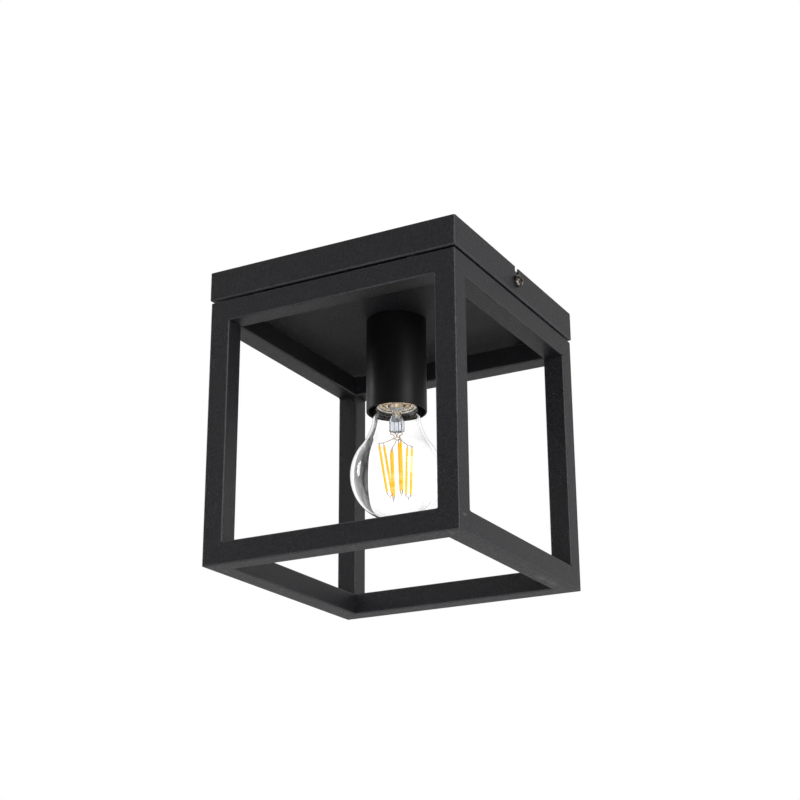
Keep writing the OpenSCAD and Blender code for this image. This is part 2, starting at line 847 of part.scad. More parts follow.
// Springy strip from the live terminal's stem down to the lamp's contact
module centre_contact() {
    tongue_r = 2;
    bend = 1.2;
    slope = 1;
    inset = 0.2;
    end_x = holder_terminal_x + holder_stem_d;
    color(brass_tone)
        translate([0, strip_w / 2, carrier_foot_z])
            rotate([90, 0, 0]) linear_extrude(strip_w) polygon([
                [-end_x, 0], [-end_x, -strip_t],
                [-tongue_r - bend - slope, -strip_t], [-tongue_r, -contact_drop],
                [tongue_r, -contact_drop], [tongue_r + bend, -contact_drop + bend],
                [tongue_r + bend, -contact_drop + bend + strip_t],
                [tongue_r - inset, -contact_drop + strip_t],
                [-tongue_r + inset, -contact_drop + strip_t],
                [-tongue_r - bend - slope + inset, 0]
            ]);
}

// Strip that joins the neutral terminal's stem to the screw shell
module shell_contact() {
    start_x = holder_terminal_x - holder_stem_d / 2;
    color(brass_tone)
        translate([start_x, -strip_w / 2, shell_top_z])
            cube([carrier_r - start_x - strip_inset, strip_w, strip_t]);
}

// ---- Lamp thread: one rounded thread form, cut outside the cap and inside the shell ----

thread_sides = 30;
thread_rings_per_turn = 10;

function thread_r(mean, depth, a, z) = mean + depth / 2 * cos(a - 360 * z / thread_pitch);

// A ring of a threaded wall at a height, whose thread has a depth
function thread_ring(mean, depth, z) = [
    for (j = [0 : thread_sides - 1])
        let (a = 360 * j / thread_sides)
        let (r = thread_r(mean, depth, a, z))
        [r * cos(a), r * sin(a), z]
];

function plain_ring(r, z) = thread_ring(r, 0, z);

// Heights from the top of a threaded wall to its foot
function thread_heights(top, foot) =
    let (count = ceil((top - foot) / thread_pitch * thread_rings_per_turn))
    [for (i = [0 : count]) top + (foot - top) * i / count];

// Screw shell of the lampholder, threaded inside
module socket_shell() {
    mean = thread_mean_r + thread_play;
    foot = shell_top_z - shell_l;
    heights = thread_heights(shell_top_z, foot);
    color(brass_tone) ring_loop(concat(
        [plain_ring(shell_outer_r, shell_top_z), plain_ring(shell_outer_r, foot)],
        [for (i = [len(heights) - 1 : -1 : 0]) thread_ring(mean, thread_depth, heights[i])]
    ));
}

// Cap of the lamp, threaded outside, with its thread fading out towards both ends
module lamp_cap() {
    thread_foot = cap_rim_z + cap_rim_h + cap_rim_t;
    heights = thread_heights(cap_top_z, thread_foot);
    root_r = thread_mean_r - thread_depth / 2;
    function fade(z) = min(1, (cap_top_z - z) / cap_fade, (z - thread_foot) / cap_fade);
    color(nickel) ring_loop(concat(
        [
            for (z = heights)
                thread_ring(
                    root_r + thread_depth / 2 * fade(z), thread_depth * fade(z), z
                )
        ],
        [
            plain_ring(cap_rim_r, cap_rim_z + cap_rim_h),
            plain_ring(cap_rim_r, cap_rim_z),
            plain_ring(cap_rim_r - cap_rim_t, cap_rim_z),
            plain_ring(cap_inner_r, cap_rim_z + cap_rim_h),
            plain_ring(cap_inner_r, cap_top_z)
        ]
    ));
}

// ---- Lamp ----

// Button in the middle of the lamp's cap, which carries the live contact
module lamp_contact() {
    color(nickel) rotate_extrude() polygon([
        [0, lamp_top_z - contact_h], [contact_r, lamp_top_z - contact_h],
        [contact_r, lamp_top_z - contact_crown_h],
        [contact_r - contact_crown_inset, lamp_top_z], [0, lamp_top_z]
    ]);
}

module lamp_insulator() {
    top_z = cap_top_z + insulator_h;
    edge_r = thread_mean_r - thread_depth / 2 - insulator_inset;
    edge_z = cap_top_z + insulator_edge_h;
    spigot_r = cap_inner_r - slide_clear;
    spigot_in_r = cap_inner_r - insulator_spigot_wall;
    spigot_z = cap_top_z - insulator_spigot_l;
    color(black_glass) rotate_extrude() polygon([
        [0, top_z], [insulator_crown_r, top_z], [edge_r, edge_z], [edge_r, cap_top_z],
        [spigot_r, cap_top_z], [spigot_r, spigot_z], [spigot_in_r, spigot_z],
        [spigot_in_r, cap_top_z], [0, cap_top_z]
    ]);
}

// Driver board that stands inside the cap, with a choke on one face, a capacitor on the other
module lamp_driver() {
    part_x = 4;
    choke_w = 7;
    choke_t = 4;
    choke_h = 6;
    capacitor_d = 5;
    capacitor_l = 6;
    color("seagreen")
        translate([0, 0, board_mid_z]) cube([board_w, board_t, board_h], center = true);
    color("dimgray") {
        translate([-part_x, (board_t + choke_t) / 2, board_mid_z])
            cube([choke_w, choke_t, choke_h], center = true);
        translate([part_x, -board_t / 2, board_mid_z])
            rotate([90, 0, 0]) cylinder(d = capacitor_d, h = capacitor_l);
    }
}

// Wires from the driver board down to the stem, on either side of its axis
module lead_wires() {
    board_foot_z = board_top_z - board_h;
    color(nickel)
        for (side = [-1, 1])
            rod([side * lead_x, 0, stem_waist_z], [side * lead_x, 0, board_foot_z], lead_d);
}

// Points of an arc about a centre, from one angle to another
function arc(cx, cz, r, from, to, steps) = [
    for (i = [0 : steps])
        let (a = from + (to - from) * i / steps)
        [cx + r * cos(a), cz + r * sin(a)]
];

// Outline of the lamp's glass, drawn in by an amount: collar, neck, shoulder and ball
function glass_line(in) =
    let (round_r = neck_r - collar_r)
    let (join_a = atan2(shoulder_rise, neck_r + shoulder_r))
    concat(
        [[collar_r - in, cap_rim_z + collar_l]],
        arc(collar_r, neck_z, round_r - in, 90, 0, 6),
        arc(neck_r + shoulder_r, neck_z, shoulder_r + in, 180, 180 + join_a, 12),
        arc(0, ball_z, ball_r - in, join_a, -90, 28)
    );

module lamp_glass() {
    outer = glass_line(0);
    inner = glass_line(glass_t);
    color(clear_glass) rotate_extrude($fn = 96)
        polygon(concat(outer, [for (i = [len(inner) - 1 : -1 : 0]) inner[i]]));
}

// Glass stem: a thin flare inside the neck that narrows to a solid pillar
module lamp_stem() {
    taper_l = 4;
    waist_r = stem_r + 1.2;
    waist_in_r = stem_r + 0.3;
    shoulder_in = 1;
    shoulder_l = 4;
    rim_l = 2;
    rim_in_r = stem_flare_r - glass_t;
    color(clear_glass) rotate_extrude() polygon([
        [0, stem_foot_z], [stem_r, stem_foot_z], [stem_r, stem_waist_z - taper_l],
        [waist_r, stem_waist_z], [stem_flare_r - shoulder_in, stem_flare_z - shoulder_l],
        [stem_flare_r, stem_flare_z - rim_l], [stem_flare_r, stem_flare_z],
        [rim_in_r, stem_flare_z], [rim_in_r - shoulder_in, stem_flare_z - shoulder_l],
        [waist_in_r, stem_waist_z], [0, stem_waist_z]
    ]);
}

function polar(r, a, z) = [r * cos(a), r * sin(a), z];

// Direction of a pair of filaments from the lamp's axis
function pair_angle(pair) = pair_turn + 360 * pair / pair_count;

// Ends of the outer (1) or inner (-1) filament of a pair
function filament_top(pair, side) =
    polar(filament_top_r + side * pair_w / 2, pair_angle(pair), filament_top_z);

function filament_foot(pair, side) =
    polar(filament_foot_r + side * pair_w / 2, pair_angle(pair), filament_foot_z)
    + polar(lean_l, lean_turn, 0);

module filaments() {
    color("gold")
        for (pair = [0 : pair_count - 1], side = [-1, 1])
            rod(filament_foot(pair, side), filament_top(pair, side), filament_d);
}

// Fine wires: a staple over the tops and one under the feet of each pair, and one from the
// upper staple to the stem
module support_wires() {
    stub = 1.5;
    anchor_r = 1.7;
    color(nickel)
        for (pair = [0 : pair_count - 1]) {
            a = pair_angle(pair);
            sideways = [-sin(a), cos(a), 0];
            rise = stub * unit(filament_top(pair, 1) - filament_foot(pair, 1));
            tops = [filament_top(pair, 1), filament_top(pair, -1)];
            feet = [filament_foot(pair, 1), filament_foot(pair, -1)];
            anchor = polar(anchor_r, a, stem_foot_z);
            fine_wire([tops[0], tops[0] + rise, tops[1] + rise, tops[1]], sideways);
            fine_wire([feet[0], feet[0] - rise, feet[1] - rise, feet[1]], sideways);
            fine_wire(
                [anchor, anchor - [0, 0, stub], (tops[0] + tops[1]) / 2 + rise], sideways
            );
        }
}

module fine_wire(line, sideways) {
    ring_sweep(line_rings(line, support_d / 2, sideways));
}

// ---- Terminal block and earth ----

module at_poles(z) {
    for (pole = [-1, 0, 1])
        translate([pole * pole_pitch, block_y, z]) children();
}

module at_block_screws(z) {
    for (end = [-1, 1])
        at_poles(z)
            translate([0, end * (block_l / 2 - block_screw_in), 0]) children();
}

module at_block_studs(h) {
    for (side = [-1, 1])
        translate([side * pole_pitch / 2, block_y, canopy_floor_z + h]) children();
}

module terminal_block() {
    color("ivory") difference() {
        translate([-block_w / 2, block_edge_y, canopy_floor_z])
            cube([block_w, block_l, block_h]);
        at_poles(pole_z)
            rotate([90, 0, 0])
                cylinder(r = pole_r + thread_clear, h = block_l + 2 * over, center = true);
        at_block_screws(pole_z)
            cylinder(d = block_screw_d + 2 * hole_clear, h = block_h);
        at_block_studs(-over)
            cylinder(r = block_stud_d / 2 + slide_clear, h = block_h + 2 * over);
        at_block_studs(block_seat_h)
            cylinder(d = block_nut_af / cos(30) + 2 * hole_clear, h = block_h);
    }
}

// Brass tubes inside the block, one for each pole, tapped for their screws
module terminal_tubes() {
    color(brass_tone) difference() {
        at_poles(pole_z)
            rotate([90, 0, 0]) cylinder(r = pole_r, h = block_l, center = true);
        at_poles(pole_z)
            rotate([90, 0, 0])
                cylinder(r = pole_bore_r, h = block_l + 2 * over, center = true);
        at_block_screws(pole_z)
            cylinder(r = block_screw_d / 2 + thread_clear, h = block_h);
    }
}

// Slotted grub screws, sunk into the block, that press on the wires
module terminal_screws() {
    sunk = 1;
    slot = 0.6;
    slot_depth = 0.7;
    tip = wire_r + thread_clear;
    screw_l = block_h / 2 - tip - sunk;
    color(zinc)
        at_block_screws(pole_z + tip)
            difference() {
                cylinder(d = block_screw_d, h = screw_l);
                translate([0, 0, screw_l])
                    cube([block_screw_d + over, slot, 2 * slot_depth], center = true);
            }
}

// Studs welded on the canopy's floor, which the block is held down on
module block_studs() {
    color(zinc) at_block_studs(0) cylinder(d = block_stud_d, h = block_seat_h + block_stud_proud);
}

module block_nuts() {
    color(zinc) at_block_studs(block_seat_h)
        hex_nut(block_nut_af, block_stud_d / 2 + thread_clear, block_nut_h);
}

module earth_stud() {
    color(zinc)
        translate([earth_x, earth_y, canopy_floor_z]) cylinder(d = stud_d, h = stud_h);
}

// Ring terminal on the stud, with its crimped barrel towards the terminal block's wire
module earth_ring_terminal() {
    color(zinc)
        translate([earth_x, earth_y, canopy_floor_z]) difference() {
            union() {
                cylinder(d = ring_d, h = ring_t);
                translate([-barrel_x - barrel_l / 2, -strap_w / 2, 0])
                    cube([barrel_x + barrel_l / 2, strap_w, ring_t]);
                translate([-barrel_x - barrel_l, 0, barrel_r])
                    rotate([0, 90, 0]) cylinder(r = barrel_r, h = barrel_l);
            }
            translate([0, 0, -over])
                cylinder(r = stud_d / 2 + slide_clear, h = ring_t + 2 * over);
            translate([-barrel_x - barrel_l - over, 0, barrel_r])
                rotate([0, 90, 0])
                    cylinder(r = wire_r + slide_clear, h = barrel_l + 2 * over);
        }
}

module earth_washer() {
    color(zinc)
        translate([earth_x, earth_y, canopy_floor_z + ring_t])
            pipe(ring_d / 2, stud_d / 2 + slide_clear, stud_washer_t);
}

module earth_nut() {
    color(zinc)
        translate([earth_x, earth_y, canopy_floor_z + ring_t + stud_washer_t])
            hex_nut(earth_nut_af, stud_d / 2 + thread_clear, earth_nut_h);
}

module live_wire() { color("saddlebrown") wire(holder_route(-1, -1), [1, 0, 0]); }
module neutral_wire() { color("royalblue") wire(holder_route(0, 1), [1, 0, 0]); }
module earth_wire() { color("yellowgreen") wire(earth_route, [0, 0, 1]); }

// ---- The pieces ----

mounting_bracket();
side_clinch_nuts();
bracket_earth_screw();
bracket_earth_washer();
side_screw_left();
side_washer_left();
side_screw_right();
side_washer_right();
canopy_tray();
top_rail_front();
top_rail_back();
top_rail_left();
top_rail_right();
post_front_left();
post_front_right();
post_back_left();
post_back_right();
bottom_rail_front();
bottom_rail_back();
bottom_rail_left();
bottom_rail_right();
cage_screws();
cage_washers();
cage_rivet_nuts();
holder_sleeve();
nipple();
nipple_nut();
nipple_washer();
nipple_bush();
holder_dome();
holder_skirt();
contact_carrier();
socket_shell();
shell_contact();
centre_contact();
holder_terminals();
holder_terminal_screws();
terminal_block();
terminal_tubes();
terminal_screws();
block_studs();
block_nuts();
earth_stud();
earth_ring_terminal();
earth_washer();
earth_nut();
live_wire();
neutral_wire();
earth_wire();
lamp_contact();
lamp_insulator();
lamp_cap();
lamp_driver();
lead_wires();
lamp_glass();
lamp_stem();
support_wires();
filaments();
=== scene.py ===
import json
import math

import bmesh
import bpy
from mathutils import Matrix, Vector


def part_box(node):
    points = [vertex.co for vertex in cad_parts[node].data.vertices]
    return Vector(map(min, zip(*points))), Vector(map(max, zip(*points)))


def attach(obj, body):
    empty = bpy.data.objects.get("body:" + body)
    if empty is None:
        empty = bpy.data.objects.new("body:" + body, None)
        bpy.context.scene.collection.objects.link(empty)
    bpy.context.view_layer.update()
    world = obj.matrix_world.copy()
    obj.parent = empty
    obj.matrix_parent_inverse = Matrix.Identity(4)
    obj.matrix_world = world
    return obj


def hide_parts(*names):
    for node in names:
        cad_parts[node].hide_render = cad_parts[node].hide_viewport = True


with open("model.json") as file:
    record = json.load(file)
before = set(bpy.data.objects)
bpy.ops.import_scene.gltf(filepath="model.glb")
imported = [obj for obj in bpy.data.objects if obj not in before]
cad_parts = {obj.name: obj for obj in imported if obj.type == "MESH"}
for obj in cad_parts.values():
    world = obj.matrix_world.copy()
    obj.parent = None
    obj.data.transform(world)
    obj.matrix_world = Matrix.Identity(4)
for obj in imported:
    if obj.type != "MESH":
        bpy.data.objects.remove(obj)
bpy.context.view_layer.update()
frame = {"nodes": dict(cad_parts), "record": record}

MM = 0.001
TAU = 2 * math.pi

# Vertices nearer to the axis than AT_AXIS (mm) lie on it; nearer than WELD (m), they are one
AT_AXIS = 1e-6
WELD = 1e-7


def cad(node, corner, axis):
    """One face of a CAD node's box in millimetres: corner 0 is the low one, 1 the high one."""
    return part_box(node)[corner][axis] / MM


# Camera, solved from the photo's edges, in degrees and metres
CAM_AZIMUTH = 28.53
CAM_ELEVATION = -19.99
CAM_ROLL = -0.32
CAM_LENS = 72.32
CAM_SENSOR = 36
CAM_NEAR = 0.01
CAM_FAR = 50
CAM_DISTANCE = 1.0315
CAM_CENTRE = Vector((0, 0, -0.1076))
CAM_RIGHT = 0.0020
CAM_UP = 0.0312

# Bulb: the shapes below are in millimetres and degrees, in the part's frame
BALL_R = cad("lamp_glass", 1, 0)
BALL_Z = cad("lamp_glass", 0, 2) + BALL_R
NECK_R = 15.0
SHOULDER_R = 40.0
NECK_Z = BALL_Z + math.sqrt((BALL_R + SHOULDER_R) ** 2 - (NECK_R + SHOULDER_R) ** 2)
COLLAR_R = 11.2
COLLAR_TOP_Z = cad("lamp_glass", 1, 2)
GLASS_T = 0.8
GLASS_STEPS = 192

# Bead of cement in the corner between the cap's rim and the bulb
CAP_INNER_R = 12.3
CAP_RIM_Z = cad("lamp_cap", 0, 2)
BEAD_GAP = 0.05
BEAD_STEPS = 96

# Stem, pressed flat below its waist
STEM_R = 2.6
WAIST_R = STEM_R + 1.2
FLARE_R = COLLAR_R - GLASS_T - 0.1
STEM_FLARE_Z = cad("lamp_stem", 1, 2)
STEM_WAIST_Z = STEM_FLARE_Z - 8.0
STEM_FOOT_Z = cad("lamp_stem", 0, 2)
STEM_STEPS = 64
PRESS_TURN = 28.5
PRESS_TOP_Z = STEM_WAIST_Z - 1.5
PRESS_RUN = 7.0
PRESS_WIDER = 0.95
PRESS_THINNER = 0.28

# Filaments: four pairs of sticks. The mount is a little off the axis and leans. A stick's end
# is FILAMENT_TIP of its radius, and it is full after FILAMENT_END of its length.
PAIRS = 4
FILAMENT_TOP_Z = BALL_Z + 19.2
FILAMENT_FOOT_Z = FILAMENT_TOP_Z - 31.4
FILAMENT_TOP_R = 9.4
FILAMENT_FOOT_R = 6.3
FILAMENT_R = 0.8
FILAMENT_TIP = 0.55
FILAMENT_END = 0.028
FILAMENT_STEPS = 24
FILAMENT_LEAN = 1.9
LEAN_TURN = 30
FOOT_BENT = (0.0, -1.6, 0.1, -0.1)
PAIR_GAP = 3.2
PAIR_TURN = 45
PAIR_TWIST = (0, 0, 0, 7)
MOUNT_SHIFT = Vector((-0.66, -0.36, 0))

# Wires that hold the filaments, and their curls under the stem
WIRE_R = 0.2125
WIRE_SIDES = 7
TAB_R = 0.32
TAB_IN = 0.7
TAB_OUT = 0.8
TAB_SIDES = 8
WIRE_START = 0.5
FORK_DROP = 2.1
FORK_TAIL = 1.7
BAR_RISE = 1.3
BAR_STEP = 0.7
BAR_PAST = 0.12
PRONG_PLACE = (3.6, 1.3, -3.6, -1.2)
PRONG_TOP = 7.5
CURL_R = 1.3
CURL_TURN = 130
CURL_DROP = 1.0
CURL_STEP = 1.1
CURL_POINTS = 4

# Wires from the stem to the driver
LEAD_X = 1.4
LEAD_R = 0.24
LEAD_SIDES = 10
BOARD_FOOT_Z = cad("lamp_driver", 0, 2)

# Lampholder's sleeve
SLEEVE_R = cad("holder_sleeve", 1, 0)
SLEEVE_WALL = 1.2
SLEEVE_EDGE = 0.45
SLEEVE_HOLE_R = 5.3
SLEEVE_TOP_Z = cad("holder_sleeve", 1, 2)
SLEEVE_FOOT_Z = cad("holder_sleeve", 0, 2)
SLEEVE_STEPS = 160

# Noise: the values that it mostly keeps between
NOISE_RANGE = (0.3, 0.7)

# Powder coat: scales, shares and range of its grain, its roughness, and its depth in mm
COAT_FINE = 1150
COAT_FINE_SHARE = 0.55
COAT_COARSE = 700
COAT_COARSE_SHARE = 0.45
COAT_GRAIN = (0.36, 0.64)
COAT_CLOUDS = 38
COAT_ROUGH = (0.32, 0.52)
COAT_DEPTH = 0.65
COAT_DARK = (0.0046, 0.0046, 0.0060)
COAT_LIGHT = (0.0320, 0.0322, 0.0380)
COAT_AGED = (0.0185, 0.0187, 0.0207)
COAT_AGED_MOST = 0.35

# Its rounded edges: a painted highlight, paler where the surface isn't square to an axis
EDGE_HIGHLIGHT_SQUARENESS = (0.985, 0.88)
EDGE_HIGHLIGHT_CLOUDS = (0.7, 1.0)
EDGE_HIGHLIGHT_DARK = (0.042, 0.042, 0.047)
EDGE_HIGHLIGHT_LIGHT = (0.098, 0.098, 0.105)

# Its pale specks, painted glints: in the middles of small cells, where the clouds are thick
GLINT_AND_SPOT_TONE = (0.16, 0.16, 0.165)
GLINT_CELLS = 330
GLINT_MIDDLE = (0.10, 0.05)
GLINT_CLOUDS = (0.52, 0.62)
GLINT_MOST = 0.55

# Pale spots on the coat: (place in mm, reach in mm), stretched from front to back
PALE_SPOT_PLACES = (
    ((-80.8, -69.7, -193.6), 1.5),
    ((79.4, -82.7, -193.6), 1.6),
    ((87.2, -80.4, -183.6), 1.2),
    ((14.8, -80.8, -193.6), 1.3),
    ((79.6, 40.0, -193.6), 3.2),
    ((80.2, 56.0, -193.6), 3.0),
)
PALE_SPOT_SHAPE = (1.0, 0.3, 1.0)
PALE_SPOT_GRAIN = (0.40, 0.60)
PALE_SPOT_STRENGTH = 1.6
PALE_SPOT_MOST = 0.9

# Metals and mouldings: light tone, dark tone, roughness, which varies by ROUGH_VARIES
ROUGH_VARIES = (-0.06, 0.08)
PLATED = {
    "zinc_plate": ((0.60, 0.62, 0.65), (0.44, 0.46, 0.50), 0.34),
    "nickel_plate": ((0.72, 0.68, 0.62), (0.58, 0.54, 0.48), 0.20),
    "brass": ((0.74, 0.53, 0.24), (0.60, 0.40, 0.16), 0.27),
}
MOULDED = {
    "nylon": ((0.78, 0.76, 0.70), (0.68, 0.66, 0.60), 0.45),
    "phenolic": ((0.020, 0.015, 0.012), (0.012, 0.010, 0.009), 0.32),
    "ceramic": ((0.84, 0.82, 0.77), (0.76, 0.74, 0.69), 0.22),
    "vitrite": ((0.016, 0.013, 0.018), (0.008, 0.007, 0.010), 0.12),
    "live_insulation": ((0.17, 0.065, 0.025), (0.12, 0.045, 0.018), 0.42),
    "neutral_insulation": ((0.03, 0.13, 0.46), (0.02, 0.09, 0.34), 0.42),
}
GLASS_IOR = 1.5

# World, as strengths: what surfaces, gloss and glass see
AMBIENT = 0.20
ROOM_LEVEL = 0.10
GLASS_LEVEL = 1.25
BACKDROP_LEVEL = 0.52
HORIZON_LEVEL = 1.12
BACKDROP_DIRECTION = (-0.30, 0.93, 0.10)
BACKDROP_SPAN = (-0.35, 0.85)
HORIZON_SPAN = (-0.35, 0.60)
HORIZON_NARROW = 4.5
HORIZON_SOFT = 0.2
GLASS_DIRECTION = (0.22, 0.95, 0.06)
GLASS_SPAN = (-0.80, 0.35)

# Floor in metres, and its strength in gloss and glass by the distance from its middle
FLOOR_HALF = 4.0
FLOOR_Z = -1.05
FLOOR_TONE = (0.86, 0.86, 0.86, 1)
FLOOR_NEAR = 1.0
FLOOR_NEAR_SPAN = (1.0, 1.7)
FLOOR_MIDDLE = 0.15
FLOOR_FAR = 0.72
FLOOR_FAR_SPAN = (2.1, 2.6)
FLOOR_END = 0.3
FLOOR_END_SPAN = (2.7, 3.2)

# Lamps: name, place, target, width, height, watts, shape
LIGHTS = (
    ("key", (1.55, -0.75, 0.22), (0, 0, -0.11), 1.2, 1.2, 15, "RECTANGLE"),
    ("window", (-1.18, -0.24, 0.20), (0, 0, -0.12), 0.28, 0.50, 1.8, "ELLIPSE"),
    ("front", (-0.75, -1.1, 0.75), (0, 0, -0.10), 0.8, 0.8, 1.4, "RECTANGLE"),
    ("low", (0.42, -0.85, -0.70), (0, 0, -0.09), 0.8, 0.8, 2.0, "RECTANGLE"),
)


# ---- Node trees ----


class Nodes:
    """A shader node tree, with a short call for each kind of step."""

    def __init__(self, tree):
        self.tree = tree
        tree.nodes.clear()

    def new(self, kind):
        return self.tree.nodes.new("ShaderNode" + kind)

    def link(self, a, b):
        self.tree.links.new(a, b)

    def feed(self, socket, value):
        """Links a socket to another, or sets it to a value."""
        if isinstance(value, bpy.types.NodeSocket):
            self.link(value, socket)
        else:
            socket.default_value = value

    def axes(self, vector):
        """A vector's three parts."""
        split = self.new("SeparateXYZ")
        self.link(vector, split.inputs[0])
        return [split.outputs[axis] for axis in "XYZ"]

    def length(self, vector):
        node = self.new("VectorMath")
        node.operation = "LENGTH"
        self.link(vector, node.inputs[0])
        return node.outputs["Value"]

    def along(self, vector, direction):
        """How far a vector points in a direction."""
        node = self.new("VectorMath")
        node.operation = "DOT_PRODUCT"
        self.link(vector, node.inputs[0])
        node.inputs[1].default_value = direction
        return node.outputs["Value"]

    def math(self, operation, a, b=0.0, c=0.0, clamp=False):
        node = self.new("Math")
        node.operation = operation
        node.use_clamp = clamp
        for socket, value in zip(node.inputs, (a, b, c)):
            self.feed(socket, value)
        return node.outputs["Value"]

    def between(self, factor, low, high):
        """Goes from low to high as the factor goes from 0 to 1."""
        return self.math("MULTIPLY_ADD", factor, self.math("SUBTRACT", high, low), low)

    def span(self, value, low, high, to_low=0.0, to_high=1.0, smooth=False):
        """Maps low..high to to_low..to_high and holds it beyond."""
        node = self.new("MapRange")
        node.interpolation_type = "SMOOTHSTEP" if smooth else "LINEAR"
        node.inputs["From Min"].default_value = low
        node.inputs["From Max"].default_value = high
        node.inputs["To Min"].default_value = to_low
        node.inputs["To Max"].default_value = to_high
        self.feed(node.inputs["Value"], value)
        return node.outputs["Result"]


class Surface(Nodes):
    """A material that is built from nodes on the part's own coordinates."""

    def __init__(self, name):
        self.material = bpy.data.materials.new(name)
        self.material.use_nodes = True
        super().__init__(self.material.node_tree)
        self.out = self.new("OutputMaterial")
        self.bsdf = self.new("BsdfPrincipled")
        self.link(self.bsdf.outputs["BSDF"], self.out.inputs["Surface"])
        places = self.new("TexCoord")
        self.coords, self.normals = places.outputs["Object"], places.outputs["Normal"]

    def set(self, **values):
        for key, value in values.items():
            self.bsdf.inputs[key.replace("_", " ")].default_value = value

    def noise(self, scale, detail=2.0, roughness=0.5, stretch=(1, 1, 1)):
        mapping = self.new("Mapping")
        mapping.inputs["Scale"].default_value = stretch
        self.link(self.coords, mapping.inputs["Vector"])
        node = self.new("TexNoise")
        node.inputs["Scale"].default_value = scale
        node.inputs["Detail"].default_value = detail
        node.inputs["Roughness"].default_value = roughness
        self.link(mapping.outputs["Vector"], node.inputs["Vector"])
        return node.outputs["Fac"]

    def cells(self, scale):
        """How far each point is from the middle of its cell."""
        node = self.new("TexVoronoi")
        node.inputs["Scale"].default_value = scale
        self.link(self.coords, node.inputs["Vector"])
        return node.outputs["Distance"]

    def distance(self, place, shape):
        """How far each point is from a place (mm), measured in a stretched space."""
        stretched = self.new("Mapping")
        stretched.inputs["Scale"].default_value = [a / MM for a in shape]
        stretched.inputs["Location"].default_value = [-p * a for p, a in zip(place, shape)]
        self.link(self.coords, stretched.inputs["Vector"])
        return self.length(stretched.outputs["Vector"])

    def squareness(self):
        """1 where the surface faces straight along an axis, less on a rounded edge."""
        x, y, z = [self.math("ABSOLUTE", part) for part in self.axes(self.normals)]
        return self.math("MAXIMUM", self.math("MAXIMUM", x, y), z)

    def blend(self, factor, a, b):
        """A colour between a and b, each a colour or a socket."""
        node = self.new("Mix")
        node.data_type = "RGBA"
        self.feed(node.inputs["Factor"], factor)
        for socket, colour in ((node.inputs[6], a), (node.inputs[7], b)):
            self.feed(socket, (*colour, 1) if isinstance(colour, tuple) else colour)
        return node.outputs[2]

    def bump(self, height, depth, strength):
        """Raises the surface by the height, over a depth in millimetres."""
        node = self.new("Bump")
        node.inputs["Strength"].default_value = strength
        node.inputs["Distance"].default_value = depth * MM
        self.link(height, node.inputs["Height"])
        self.link(node.outputs["Normal"], self.bsdf.inputs["Normal"])

    def colour(self, socket):
        self.link(socket, self.bsdf.inputs["Base Color"])

    def tint(self, noise, a, b, over=NOISE_RANGE):
        """A base colour that goes from a to b as the noise goes over its range."""
        self.colour(self.blend(self.span(noise, *over), a, b))

    def rough(self, noise, a, b, over=NOISE_RANGE):
        """A roughness that goes from a to b as the noise goes over its range."""
        self.link(self.span(noise, *over, a, b), self.bsdf.inputs["Roughness"])

    def painted_glow(self, colour, strength):
        """Painted light: a little light of its own, for the daylight that is gathered onto it.
        """
        self.feed(self.bsdf.inputs["Emission Color"], colour)
        self.set(Emission_Strength=strength)


# ---- Materials ----


def powder_coat():
    """Fine-textured charcoal coat, with pale specks as painted glints, pale spots in listed
    places and thin edges lightened as a painted highlight.
    """
    s = Surface("powder_coat")
    fine = s.noise(COAT_FINE, detail=1.0, roughness=0.6)
    coarse = s.noise(COAT_COARSE, detail=2.0, roughness=0.55)
    cloud = s.noise(COAT_CLOUDS)
    grain = s.math("ADD", s.math("MULTIPLY", fine, COAT_FINE_SHARE),
                   s.math("MULTIPLY", coarse, COAT_COARSE_SHARE))
    speck = s.span(grain, *COAT_GRAIN)
    tone = s.blend(speck, COAT_DARK, COAT_LIGHT)
    tone = s.blend(s.span(cloud, *NOISE_RANGE, 0.0, COAT_AGED_MOST), tone, COAT_AGED)
    # Painted highlight: lighter tones on the rounded edges, thinned out by the clouds
    edge = s.math("MULTIPLY", s.span(s.squareness(), *EDGE_HIGHLIGHT_SQUARENESS),
                  s.span(cloud, *NOISE_RANGE, *EDGE_HIGHLIGHT_CLOUDS))
    tone = s.blend(edge, tone, s.blend(speck, EDGE_HIGHLIGHT_DARK, EDGE_HIGHLIGHT_LIGHT))
    # Painted glints: pale specks in the middles of small cells, where the clouds are thick
    middles = s.span(s.cells(GLINT_CELLS), *GLINT_MIDDLE)
    glints_and_pale_spots = s.math("MULTIPLY", middles, s.span(cloud, *GLINT_CLOUDS))
    glints_and_pale_spots = s.math("MULTIPLY", glints_and_pale_spots, GLINT_MOST)
    # Pale spots at the listed places, patchy with the fine grain
    for place, reach in PALE_SPOT_PLACES:
        spot = s.span(s.distance(place, PALE_SPOT_SHAPE), reach, 0.0, 0.0, PALE_SPOT_STRENGTH)
        patchy = s.math("MULTIPLY", spot, s.span(fine, *PALE_SPOT_GRAIN))
        glints_and_pale_spots = s.math("MAXIMUM", glints_and_pale_spots, s.math("MULTIPLY", patchy, PALE_SPOT_MOST, clamp=True))
    s.colour(s.blend(glints_and_pale_spots, tone, GLINT_AND_SPOT_TONE))
    s.rough(grain, *COAT_ROUGH, over=COAT_GRAIN)
    s.bump(grain, COAT_DEPTH, 1.0)
    s.set(Specular_IOR_Level=0.5)
    return s.material


def satin_black():
    """Smooth black paint on the sleeve."""
    s = Surface("satin_black")
    grain = s.noise(1500, detail=3.0, roughness=0.6)
    s.tint(grain, (0.006, 0.006, 0.00675), (0.0104, 0.0104, 0.0117), over=(0.35, 0.65))
    s.rough(s.noise(55), 0.37, 0.48)
    s.bump(grain, 0.05, 0.5)
    s.set(Specular_IOR_Level=0.28)
    return s.material


